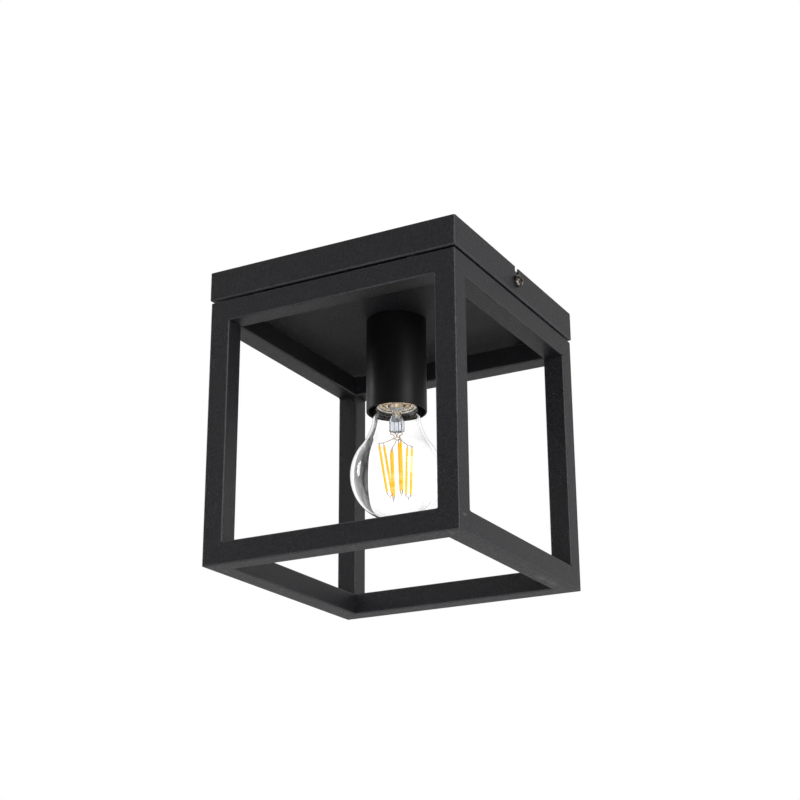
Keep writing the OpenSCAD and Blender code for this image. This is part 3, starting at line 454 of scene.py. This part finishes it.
def plated(name, light, dark, rough):
    """Clouded metal with fine scratches along Z."""
    s = Surface(name)
    streaks = s.noise(1500, detail=3.0, roughness=0.6, stretch=(1, 1, 0.06))
    s.tint(s.noise(160, detail=3.0, roughness=0.6), dark, light)
    s.rough(streaks, *(rough + change for change in ROUGH_VARIES))
    s.bump(streaks, 0.03, 0.4)
    s.set(Metallic=1.0)
    return s.material


def dulled_plate(name, dark, light):
    """Plating weathered to brown on the screws that stand outside. The washers' plate is
    near-black.
    """
    s = Surface(name)
    cloud = s.noise(420, detail=3.0, roughness=0.6)
    s.tint(cloud, dark, light, over=(0.44, 0.60))
    s.rough(cloud, 0.46, 0.22)
    s.bump(cloud, 0.08, 0.5)
    s.set(Metallic=0.85)
    return s.material


def moulded(name, light, dark, rough):
    """Plastic, ceramic or black glass, straight from its mould."""
    s = Surface(name)
    grain = s.noise(700, detail=3.0, roughness=0.6)
    s.tint(s.noise(70, detail=3.0), dark, light)
    s.rough(grain, *(rough + change for change in ROUGH_VARIES))
    s.bump(grain, 0.05, 0.5)
    s.set(Specular_IOR_Level=0.5)
    return s.material


def clear_glass():
    """Clear, with a faint ripple."""
    s = Surface("clear_glass")
    s.set(Base_Color=(1, 1, 1, 1), Transmission_Weight=1.0, IOR=GLASS_IOR, Roughness=0.0)
    s.bump(s.noise(28, detail=1.0, roughness=0.4), 0.02, 0.3)
    return s.material


def stem_glass():
    """Clear in its flare. The pressed part is bluish and streaked."""
    s = Surface("stem_glass")
    height = s.axes(s.coords)[2]
    pressed = s.span(height, (STEM_WAIST_Z - 3.0) * MM, (STEM_WAIST_Z + 2.0) * MM, 1.0, 0.0)
    streaks = s.noise(330, detail=1.0, stretch=(1, 1, 0.05))
    streaks = s.span(streaks, 0.40, 0.60)
    milky = s.math("MULTIPLY", streaks, pressed)
    s.colour(s.blend(milky, (1, 1, 1), (0.80, 0.88, 0.98)))
    s.rough(milky, 0.0, 0.16, over=(0.0, 1.0))
    s.link(s.span(milky, 0.0, 1.0, 1.0, 0.72), s.bsdf.inputs["Transmission Weight"])
    s.bump(streaks, 0.06, 0.4)
    s.set(IOR=GLASS_IOR)
    return s.material


def wire_metal():
    """Thin wires: dark where the flame has blued them, golden where it hasn't."""
    s = Surface("lamp_wire_metal")
    patches = s.noise(420)
    s.tint(patches, (0.10, 0.075, 0.12), (0.72, 0.50, 0.24), over=(0.44, 0.56))
    s.rough(patches, 0.25, 0.45)
    s.bump(patches, 0.03, 0.4)
    s.set(Metallic=0.75)
    return s.material


def cap_metal():
    """Nickel outside. Inside, the cement and the solder's heat leave it gold-brown, with paler
    patches that are partly painted light, and it glows gold with painted light for the light
    that reaches into the cap.
    """
    s = Surface("lamp_cap_metal")
    x, y, _ = s.axes(s.coords)
    radius = s.math("SQRT", s.math("ADD", s.math("MULTIPLY", x, x), s.math("MULTIPLY", y, y)))
    inside = s.span(radius, (CAP_INNER_R - 0.3) * MM, CAP_INNER_R * MM, 1.0, 0.0)
    cloud = s.noise(160, detail=3.0, roughness=0.6)
    patches = s.noise(330, roughness=0.6)
    light, dark, _ = PLATED["nickel_plate"]
    nickel = s.blend(s.span(cloud, *NOISE_RANGE), dark, light)
    gold = s.blend(s.span(patches, 0.42, 0.58), (0.62, 0.36, 0.11), (1.0, 0.95, 0.84))
    s.colour(s.blend(inside, nickel, gold))
    s.rough(patches, 0.18, 0.34)
    s.bump(cloud, 0.03, 0.4)
    s.link(s.span(inside, 0.0, 1.0, 1.0, 0.25), s.bsdf.inputs["Metallic"])
    # Painted light: the inside glows gold, for light that reaches into the cap
    s.painted_glow(s.blend(inside, (0, 0, 0), gold), 0.8)
    return s.material


def cement():
    """Lamp cement, off-white and scorched in places. It glows a little with painted light, for
    the light that reaches into the cap.
    """
    s = Surface("lamp_cement")
    patches = s.noise(260, detail=3.0, roughness=0.6)
    tone = s.blend(s.span(patches, 0.40, 0.60), (0.60, 0.50, 0.36), (0.92, 0.90, 0.85))
    s.colour(tone)
    s.rough(patches, 0.55, 0.80)
    s.bump(patches, 0.12, 0.6)
    # Painted light: the cement glows with its own tone
    s.painted_glow(tone, 0.45)
    return s.material


def filament_gel():
    """The amber gel that covers each stick. It glows with painted light, though the lamp is
    unlit.
    """
    s = Surface("filament")
    bumps = s.noise(900)
    s.tint(bumps, (0.95, 0.50, 0.012), (1.0, 0.56, 0.022))
    s.rough(bumps, 0.38, 0.55)
    s.bump(bumps, 0.04, 0.4)
    # Painted light: an amber glow on the unlit sticks
    s.painted_glow((1.0, 0.52, 0.012, 1), 0.54)
    return s.material


def circuit_board():
    """Green lacquer, paler over the tracks."""
    s = Surface("circuit_board")
    tracks = s.noise(260, detail=0.0, roughness=0.0, stretch=(1, 1, 0.4))
    s.tint(tracks, (0.02, 0.11, 0.035), (0.05, 0.22, 0.06), over=(0.5, 0.52))
    s.rough(s.noise(700, stretch=(1, 1, 3)), 0.3, 0.45)
    s.bump(tracks, 0.04, 0.5)
    return s.material


def earth_sleeve():
    """Green with yellow bands."""
    s = Surface("earth_insulation")
    bands = s.noise(90, detail=1.0, roughness=0.4)
    grain = s.noise(900)
    s.tint(bands, (0.03, 0.28, 0.06), (0.72, 0.56, 0.03), over=(0.49, 0.51))
    s.rough(grain, 0.38, 0.5)
    s.bump(grain, 0.03, 0.4)
    return s.material


# One material for each slot of the part
MATERIALS = {
    "powder_coat": powder_coat(),
    "satin_black": satin_black(),
    "clear_glass": clear_glass(),
    "filament": filament_gel(),
    "circuit_board": circuit_board(),
    "earth_insulation": earth_sleeve(),
}
MATERIALS.update((name, plated(name, *looks)) for name, looks in PLATED.items())
MATERIALS.update((name, moulded(name, *looks)) for name, looks in MOULDED.items())
SLOT_OF = {row["node"]: row["material_slot"] for row in frame["record"]["subparts"]}

# Pieces that look different from the rest of their slot
SCREW_PLATE = dulled_plate("dulled_screw_plate", (0.035, 0.027, 0.022), (0.46, 0.42, 0.38))
# The washers are near-black, darker than the screws
WASHER_PLATE = dulled_plate("dulled_washer_plate", (0.015, 0.013, 0.012), (0.10, 0.085, 0.07))
OWN_MATERIAL = {
    "side_screw_left": SCREW_PLATE,
    "side_screw_right": SCREW_PLATE,
    "side_washer_left": WASHER_PLATE,
    "side_washer_right": WASHER_PLATE,
    "lamp_cement_bead": cement(),
    "lamp_cap": cap_metal(),
    "lamp_glass_stem": stem_glass(),
    "lamp_support_wires": wire_metal(),
}


def dress(name, mesh, slot):
    """Gives a mesh its piece's own material, or else its slot's."""
    mesh.materials.clear()
    mesh.materials.append(OWN_MATERIAL.get(name) or MATERIALS[slot])


# ---- Mesh helpers ----


def place_object(name, data):
    obj = bpy.data.objects.new(name, data)
    bpy.context.scene.collection.objects.link(obj)
    return obj


def make_piece(name, bm, slot, body, stands_for):
    """A smooth piece from a finished bmesh, in place of the nodes that it stands for."""
    bmesh.ops.remove_doubles(bm, verts=bm.verts, dist=WELD)
    bmesh.ops.recalc_face_normals(bm, faces=bm.faces)
    mesh = bpy.data.meshes.new(name)
    bm.to_mesh(mesh)
    bm.free()
    dress(name, mesh, slot)
    for poly in mesh.polygons:
        poly.use_smooth = True
    obj = place_object(name, mesh)
    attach(obj, body)
    if stands_for:
        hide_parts(*stands_for)
    return obj


def ring(bm, r, z, steps):
    """A circle of vertices, or one vertex where it shrinks to the axis."""
    if r < AT_AXIS:
        return [bm.verts.new((0, 0, z * MM))]
    turns = [TAU * i / steps for i in range(steps)]
    return [bm.verts.new((r * math.cos(a) * MM, r * math.sin(a) * MM, z * MM)) for a in turns]


def lathe(bm, line, steps, closed=True):
    """Turns a line of (radius, height) in millimetres round the Z axis."""
    rings = [ring(bm, r, z, steps) for r, z in line]
    pairs = list(zip(rings, rings[1:]))
    if closed:
        pairs.append((rings[-1], rings[0]))
    for a, b in pairs:
        if len(a) == 1 and len(b) == 1:
            continue
        for i in range(steps):
            j = (i + 1) % steps
            if len(a) == 1:
                bm.faces.new((a[0], b[j], b[i]))
            elif len(b) == 1:
                bm.faces.new((a[i], a[j], b[0]))
            else:
                bm.faces.new((a[i], a[j], b[j], b[i]))


def arc(cx, cz, r, start, end, steps):
    """Points of an arc round (cx, cz), from one angle in degrees to the other."""
    turns = [math.radians(start + (end - start) * i / steps) for i in range(steps + 1)]
    return [(cx + r * math.cos(a), cz + r * math.sin(a)) for a in turns]


def tube(bm, points, radius, sides):
    """A round, capped tube along points, with a turning frame that doesn't twist. The radius
    is a number, or a function of the way along from 0 to 1."""
    points = [Vector(p) for p in points]
    turns = [TAU * k / sides for k in range(sides)]
    rings = []
    normal = None
    for i, p in enumerate(points):
        ahead = points[min(i + 1, len(points) - 1)] - points[max(i - 1, 0)]
        ahead.normalize()
        if normal is None:
            normal = ahead.orthogonal().normalized()
        else:
            normal = (normal - ahead * normal.dot(ahead)).normalized()
        side = ahead.cross(normal)
        r = radius(i / (len(points) - 1)) if callable(radius) else radius
        rings.append([
            bm.verts.new((p + (normal * math.cos(a) + side * math.sin(a)) * r) * MM)
            for a in turns
        ])
    for a, b in zip(rings, rings[1:]):
        for k in range(sides):
            m = (k + 1) % sides
            bm.faces.new((a[k], a[m], b[m], b[k]))
    bm.faces.new(rings[0][::-1])
    bm.faces.new(rings[-1])


def smooth_path(corners, per_leg):
    """Points of a Catmull-Rom curve through the corners."""
    corners = [Vector(c) for c in corners]
    padded = [corners[0] * 2 - corners[1], *corners, corners[-1] * 2 - corners[-2]]
    points = []
    for i in range(1, len(padded) - 2):
        a, b, c, d = padded[i - 1:i + 3]
        for k in range(per_leg):
            t = k / per_leg
            points.append(0.5 * (
                2 * b + (c - a) * t + (2 * a - 5 * b + 4 * c - d) * t * t
                + (3 * b - a - 3 * c + d) * t ** 3
            ))
    points.append(corners[-1])
    return points


def polar(r, degrees, z):
    a = math.radians(degrees)
    return Vector((r * math.cos(a), r * math.sin(a), z))


def up_by(z):
    return Vector((0, 0, z))


# ---- Lamp ----


def glass_line(inset):
    """The bulb's outline, moved inwards, from its collar down to the ball's foot."""
    round_r = NECK_R - COLLAR_R
    join = math.degrees(math.atan2(NECK_Z - BALL_Z, NECK_R + SHOULDER_R))
    return (
        [(COLLAR_R - inset, COLLAR_TOP_Z)]
        + arc(COLLAR_R, NECK_Z, round_r - inset, 90, 0, 12)
        + arc(NECK_R + SHOULDER_R, NECK_Z, SHOULDER_R + inset, 180, 180 + join, 28)[1:]
        + arc(0, BALL_Z, BALL_R - inset, join, -90, 64)[1:-1]
        + [(0, BALL_Z - BALL_R + inset)]
    )


def make_glass():
    """The clear bulb, open at its collar."""
    bm = bmesh.new()
    lathe(bm, glass_line(0) + glass_line(GLASS_T)[::-1], GLASS_STEPS)
    obj = make_piece("lamp_glass_bulb", bm, "clear_glass", "lamp", ["lamp_glass"])
    obj.visible_shadow = False


def make_cement():
    """The bead of cement that fills the corner between the cap's rim and the glass."""
    bm = bmesh.new()
    seat = arc(COLLAR_R, NECK_Z, NECK_R - COLLAR_R + BEAD_GAP, 90, 65, 4)
    lathe(bm, [
        (COLLAR_R + BEAD_GAP, CAP_RIM_Z + 1.0),
        (CAP_INNER_R - 0.15, CAP_RIM_Z + 0.8),
        (CAP_INNER_R, CAP_RIM_Z - 0.1),
        (CAP_INNER_R + 0.7, CAP_RIM_Z - 0.4),
        (CAP_INNER_R + 1.0, CAP_RIM_Z - 1.1),
        (seat[-1][0] + 0.25, seat[-1][1] + 0.5),
        *seat[::-1],
    ], BEAD_STEPS)
    make_piece("lamp_cement_bead", bm, "ceramic", "lamp", [])


def press(vert):
    """Widens and flattens the stem below its waist."""
    t = max(0.0, min(1.0, (PRESS_TOP_Z - vert.co.z / MM) / PRESS_RUN))
    t = t * t * (3 - 2 * t)
    across = polar(1, PRESS_TURN, 0)
    u = vert.co.dot(across)
    flat = Vector((vert.co.x, vert.co.y, 0)) - across * u
    vert.co += across * u * PRESS_WIDER * t - flat * PRESS_THINNER * t


def make_stem():
    """A flared glass tube, closed at its foot."""
    bm = bmesh.new()
    outer = smooth_path([
        (FLARE_R, 0, STEM_FLARE_Z), (FLARE_R, 0, STEM_FLARE_Z - 2),
        (FLARE_R - 1, 0, STEM_FLARE_Z - 4.2), (WAIST_R + 1.4, 0, STEM_WAIST_Z + 2.6),
        (WAIST_R, 0, STEM_WAIST_Z), (STEM_R + 0.1, 0, STEM_WAIST_Z - 4),
        (STEM_R, 0, STEM_FOOT_Z + 2.2), (STEM_R - 0.5, 0, STEM_FOOT_Z + 0.5),
        (STEM_R - 1.3, 0, STEM_FOOT_Z),
    ], 6)
    inner = smooth_path([
        (0.5, 0, STEM_WAIST_Z - 0.4), (STEM_R - 0.2, 0, STEM_WAIST_Z + 1.0),
        (WAIST_R + 0.4, 0, STEM_WAIST_Z + 3.2), (FLARE_R - 2.1, 0, STEM_FLARE_Z - 4),
        (FLARE_R - 0.9, 0, STEM_FLARE_Z - 1.8), (FLARE_R - 0.8, 0, STEM_FLARE_Z),
    ], 6)
    lines = (
        [(p.x, p.z) for p in outer] + [(0, STEM_FOOT_Z)],
        [(0, STEM_WAIST_Z - 0.4)] + [(p.x, p.z) for p in inner],
        [(inner[-1].x, STEM_FLARE_Z), (FLARE_R, STEM_FLARE_Z)],
    )
    for line in lines:
        lathe(bm, line, STEM_STEPS, closed=False)
    for vert in bm.verts:
        press(vert)
    obj = make_piece("lamp_glass_stem", bm, "clear_glass", "lamp", ["lamp_stem"])
    obj.visible_shadow = False


def pair_angle(pair):
    return PAIR_TURN + 90 * pair


def pair_side(pair, side):
    """Half a pair's width, turned a little out of the radial line."""
    return polar(side * PAIR_GAP / 2, pair_angle(pair) + PAIR_TWIST[pair], 0) + MOUNT_SHIFT


def filament_top(pair, side):
    return polar(FILAMENT_TOP_R, pair_angle(pair), FILAMENT_TOP_Z) + pair_side(pair, side)


def filament_foot(pair, side):
    foot = polar(FILAMENT_FOOT_R, pair_angle(pair), FILAMENT_FOOT_Z) + pair_side(pair, side)
    return foot + polar(FILAMENT_LEAN + FOOT_BENT[pair], LEAN_TURN, 0)


def filament_radius(t):
    """Full along the stick, with a short rounded end: t is the way along, from 0 to 1."""
    full = math.sqrt(min(1.0, min(t, 1 - t) / FILAMENT_END))
    return FILAMENT_R * (FILAMENT_TIP + (1 - FILAMENT_TIP) * full)


def make_filaments():
    """Eight straight sticks in four pairs."""
    bm = bmesh.new()
    for pair in range(PAIRS):
        for side in (-1, 1):
            foot, top = filament_foot(pair, side), filament_top(pair, side)
            points = [foot.lerp(top, i / FILAMENT_STEPS) for i in range(FILAMENT_STEPS + 1)]
            tube(bm, points, filament_radius, 14)
    make_piece("filament_sticks", bm, "filament", "lamp", ["filaments"])


def make_wires():
    """The wires round the filaments, with the tabs that hold the sticks' ends."""
    bm = bmesh.new()

    def wire(corners, per_leg):
        tube(bm, smooth_path(corners, per_leg), WIRE_R, WIRE_SIDES)

    for pair in range(PAIRS):
        a = pair_angle(pair)
        tops = [filament_top(pair, 1), filament_top(pair, -1)]
        feet = [filament_foot(pair, 1), filament_foot(pair, -1)]
        up = (tops[0] - feet[0]).normalized()
        side = polar(1, a + 90, 0)
        # Metal tabs that hold each stick's ends
        for point in tops:
            tube(bm, [point - up * TAB_IN, point + up * TAB_OUT], TAB_R, TAB_SIDES)
        for point in feet:
            tube(bm, [point + up * TAB_IN, point - up * TAB_OUT], TAB_R, TAB_SIDES)
        # Y-shaped wires join the lower ends
        fork = (feet[0] + feet[1]) / 2 - up * FORK_DROP
        for foot in feet:
            bend = fork.lerp(foot - up * 1.6, 0.35)
            wire([foot - up * WIRE_START, foot - up * 1.1, bend, fork], 4)
        wire([fork, fork - up * 0.8 + side * 0.15, fork - up * FORK_TAIL], 4)
        # Z-shaped wires carry the upper ends
        bar = [top + up * (BAR_RISE + BAR_STEP * i) for i, top in enumerate(tops)]
        past = (bar[1] - bar[0]) * BAR_PAST
        wire([tops[0] + up * WIRE_START, tops[0] + up * 1.0, bar[0]], 4)
        wire([bar[0] - past, bar[0], bar[1], bar[1] + past], 5)
        wire([tops[1] + up * WIRE_START, tops[1] + up * 1.2, bar[1]], 4)
        # From there to the curls under the pressed stem
        anchor = polar(1, PRESS_TURN, 0) * PRONG_PLACE[pair] + MOUNT_SHIFT * 0.5
        anchor.z = STEM_FOOT_Z
        middle = bar[0].lerp(bar[1], 0.75)
        curl = [
            anchor * 0.7 + polar(CURL_R, a + CURL_TURN * i, 0)
            + up_by(anchor.z * 0.3 - CURL_DROP - CURL_STEP * i)
            for i in range(CURL_POINTS)
        ]
        hang = curl[-1].lerp(middle, 0.45) - up_by(0.3)
        wire([anchor + up_by(PRONG_TOP), anchor + up_by(3), anchor, *curl, hang, middle], 7)
    make_piece("lamp_support_wires", bm, "nickel_plate", "lamp", ["support_wires"])


def make_leads():
    """Two wires that go up through the stem to the driver's board."""
    bm = bmesh.new()
    for side in (-1, 1):
        tube(bm, smooth_path([
            (side * LEAD_X, 0.1 * side, STEM_WAIST_Z - 8),
            (side * LEAD_X, 0, STEM_WAIST_Z),
            (side * (LEAD_X + 0.25), 0.2, STEM_WAIST_Z + 5),
            (side * (LEAD_X + 0.1), 0.1 * side, BOARD_FOOT_Z - 2),
            (side * LEAD_X, 0, BOARD_FOOT_Z),
        ], 6), LEAD_R, LEAD_SIDES)
    make_piece("lamp_lead_pair", bm, "nickel_plate", "lamp", ["lead_wires"])


# ---- Lampholder's sleeve ----


def make_sleeve():
    """A cup with a hole in its closed top and a rolled rim at its foot."""
    bm = bmesh.new()
    inner = SLEEVE_R - SLEEVE_WALL
    ceiling = SLEEVE_TOP_Z - SLEEVE_WALL
    outer_centre, inner_centre = SLEEVE_R - SLEEVE_EDGE, inner + SLEEVE_EDGE
    rim_z = SLEEVE_FOOT_Z + SLEEVE_EDGE
    line = (
        [(SLEEVE_HOLE_R, SLEEVE_TOP_Z), (outer_centre, SLEEVE_TOP_Z)]
        + arc(outer_centre, SLEEVE_TOP_Z - SLEEVE_EDGE, SLEEVE_EDGE, 90, 0, 4)[1:]
        + [(SLEEVE_R, SLEEVE_TOP_Z - 12 * i) for i in range(1, 5)]
        + arc(outer_centre, rim_z, SLEEVE_EDGE, 0, -90, 4)
        + arc(inner_centre, rim_z, SLEEVE_EDGE, -90, -180, 4)
        + [(inner, SLEEVE_FOOT_Z + 20), (inner, ceiling - SLEEVE_EDGE)]
        + [(inner - SLEEVE_EDGE, ceiling), (SLEEVE_HOLE_R, ceiling)]
    )
    lathe(bm, line, SLEEVE_STEPS)
    make_piece("holder_sleeve_shell", bm, "satin_black", "lantern", ["holder_sleeve"])


# ---- Studio ----


def make_floor():
    """A floor that takes the lantern's shadow. Gloss and glass see it lit in rings."""
    half, z = FLOOR_HALF, FLOOR_Z
    mesh = bpy.data.meshes.new("studio_floor")
    mesh.from_pydata(
        [(-half, -half, z), (half, -half, z), (half, half, z), (-half, half, z)], [],
        [(0, 1, 2, 3)],
    )
    floor = place_object("studio_floor", mesh)
    s = Surface("studio_floor")
    s.set(Base_Color=FLOOR_TONE, Roughness=0.9)
    away = s.length(s.coords)
    near = s.span(away, *FLOOR_NEAR_SPAN, FLOOR_NEAR, FLOOR_MIDDLE, smooth=True)
    far = s.span(away, *FLOOR_FAR_SPAN, FLOOR_MIDDLE, FLOOR_FAR, smooth=True)
    far = s.math("MULTIPLY", far, s.span(away, *FLOOR_END_SPAN, 1.0, FLOOR_END, smooth=True))
    white, mix, path = s.new("Emission"), s.new("MixShader"), s.new("LightPath")
    seen = s.math("MAXIMUM", path.outputs["Is Glossy Ray"], path.outputs["Is Transmission Ray"])
    s.link(s.math("MAXIMUM", near, far), white.inputs["Strength"])
    s.link(seen, mix.inputs[0])
    s.link(s.bsdf.outputs["BSDF"], mix.inputs[1])
    s.link(white.outputs["Emission"], mix.inputs[2])
    s.link(mix.outputs["Shader"], s.out.inputs["Surface"])
    mesh.materials.append(s.material)


def camera_axes():
    """The directions ahead, right and up, as the photo's camera stood."""
    az, el = math.radians(CAM_AZIMUTH), math.radians(CAM_ELEVATION)
    back = Vector((math.sin(az) * math.cos(el), -math.cos(az) * math.cos(el), math.sin(el)))
    ahead = -back
    right = ahead.cross(Vector((0, 0, 1))).normalized()
    up = right.cross(ahead)
    c, s = math.cos(math.radians(CAM_ROLL)), math.sin(math.radians(CAM_ROLL))
    return ahead, c * right + s * up, -s * right + c * up


def make_camera():
    ahead, right, up = camera_axes()
    data = bpy.data.cameras.new("photo_camera")
    data.lens = CAM_LENS
    data.sensor_width = CAM_SENSOR
    data.clip_start, data.clip_end = CAM_NEAR, CAM_FAR
    cam = place_object("photo_camera", data)
    place = CAM_CENTRE - ahead * CAM_DISTANCE + right * CAM_RIGHT + up * CAM_UP
    cam.matrix_world = Matrix((
        (right.x, up.x, -ahead.x, place.x),
        (right.y, up.y, -ahead.y, place.y),
        (right.z, up.z, -ahead.z, place.z),
        (0, 0, 0, 1),
    ))
    bpy.context.scene.camera = cam


def make_world():
    """White to the eye. Gloss and glass see a white backdrop behind the lantern and a dimmer
    room in front of it, and surfaces get an even, softer light."""
    world = bpy.data.worlds.new("studio")
    bpy.context.scene.world = world
    world.use_nodes = True
    w = Nodes(world.node_tree)
    out, background = w.new("OutputWorld"), w.new("Background")
    background.inputs["Color"].default_value = (1, 1, 1, 1)
    w.link(background.outputs[0], out.inputs["Surface"])
    sky = w.new("TexCoord").outputs["Generated"]
    behind = w.along(sky, BACKDROP_DIRECTION)
    through_glass = w.along(sky, GLASS_DIRECTION)
    # The horizon is a brighter band all round
    height = w.math("ABSOLUTE", w.axes(sky)[2])
    falling = w.math("SUBTRACT", 1.0, w.math("MULTIPLY", height, HORIZON_NARROW))
    band = w.math("SMOOTH_MAX", falling, 0.0, HORIZON_SOFT)
    wall = w.span(behind, *BACKDROP_SPAN, ROOM_LEVEL, BACKDROP_LEVEL, smooth=True)
    horizon = w.span(behind, *HORIZON_SPAN, ROOM_LEVEL, HORIZON_LEVEL, smooth=True)
    in_gloss = w.between(band, wall, horizon)
    in_glass = w.span(through_glass, *GLASS_SPAN, ROOM_LEVEL, GLASS_LEVEL, smooth=True)
    rays = w.new("LightPath").outputs
    seen = w.math("MAXIMUM", rays["Is Glossy Ray"], rays["Is Transmission Ray"])
    room = w.between(rays["Is Transmission Ray"], in_gloss, in_glass)
    level = w.between(seen, AMBIENT, room)
    w.link(w.between(rays["Is Camera Ray"], level, 1.0), background.inputs["Strength"])


def area_light(name, place, target, size, size_y, power, shape):
    data = bpy.data.lights.new(name, "AREA")
    data.shape = shape
    data.size, data.size_y = size, size_y
    data.energy = power
    obj = place_object(name, data)
    obj.location = place
    obj.rotation_mode = "QUATERNION"
    obj.rotation_quaternion = (Vector(target) - Vector(place)).to_track_quat("-Z", "Y")


for node_name, node_object in frame["nodes"].items():
    dress(node_name, node_object.data, SLOT_OF[node_name])
make_glass()
make_cement()
make_stem()
make_filaments()
make_wires()
make_leads()
make_sleeve()
make_floor()
make_camera()
make_world()
for light in LIGHTS:
    area_light(*light)

bpy.context.scene.view_settings.view_transform = "Standard"
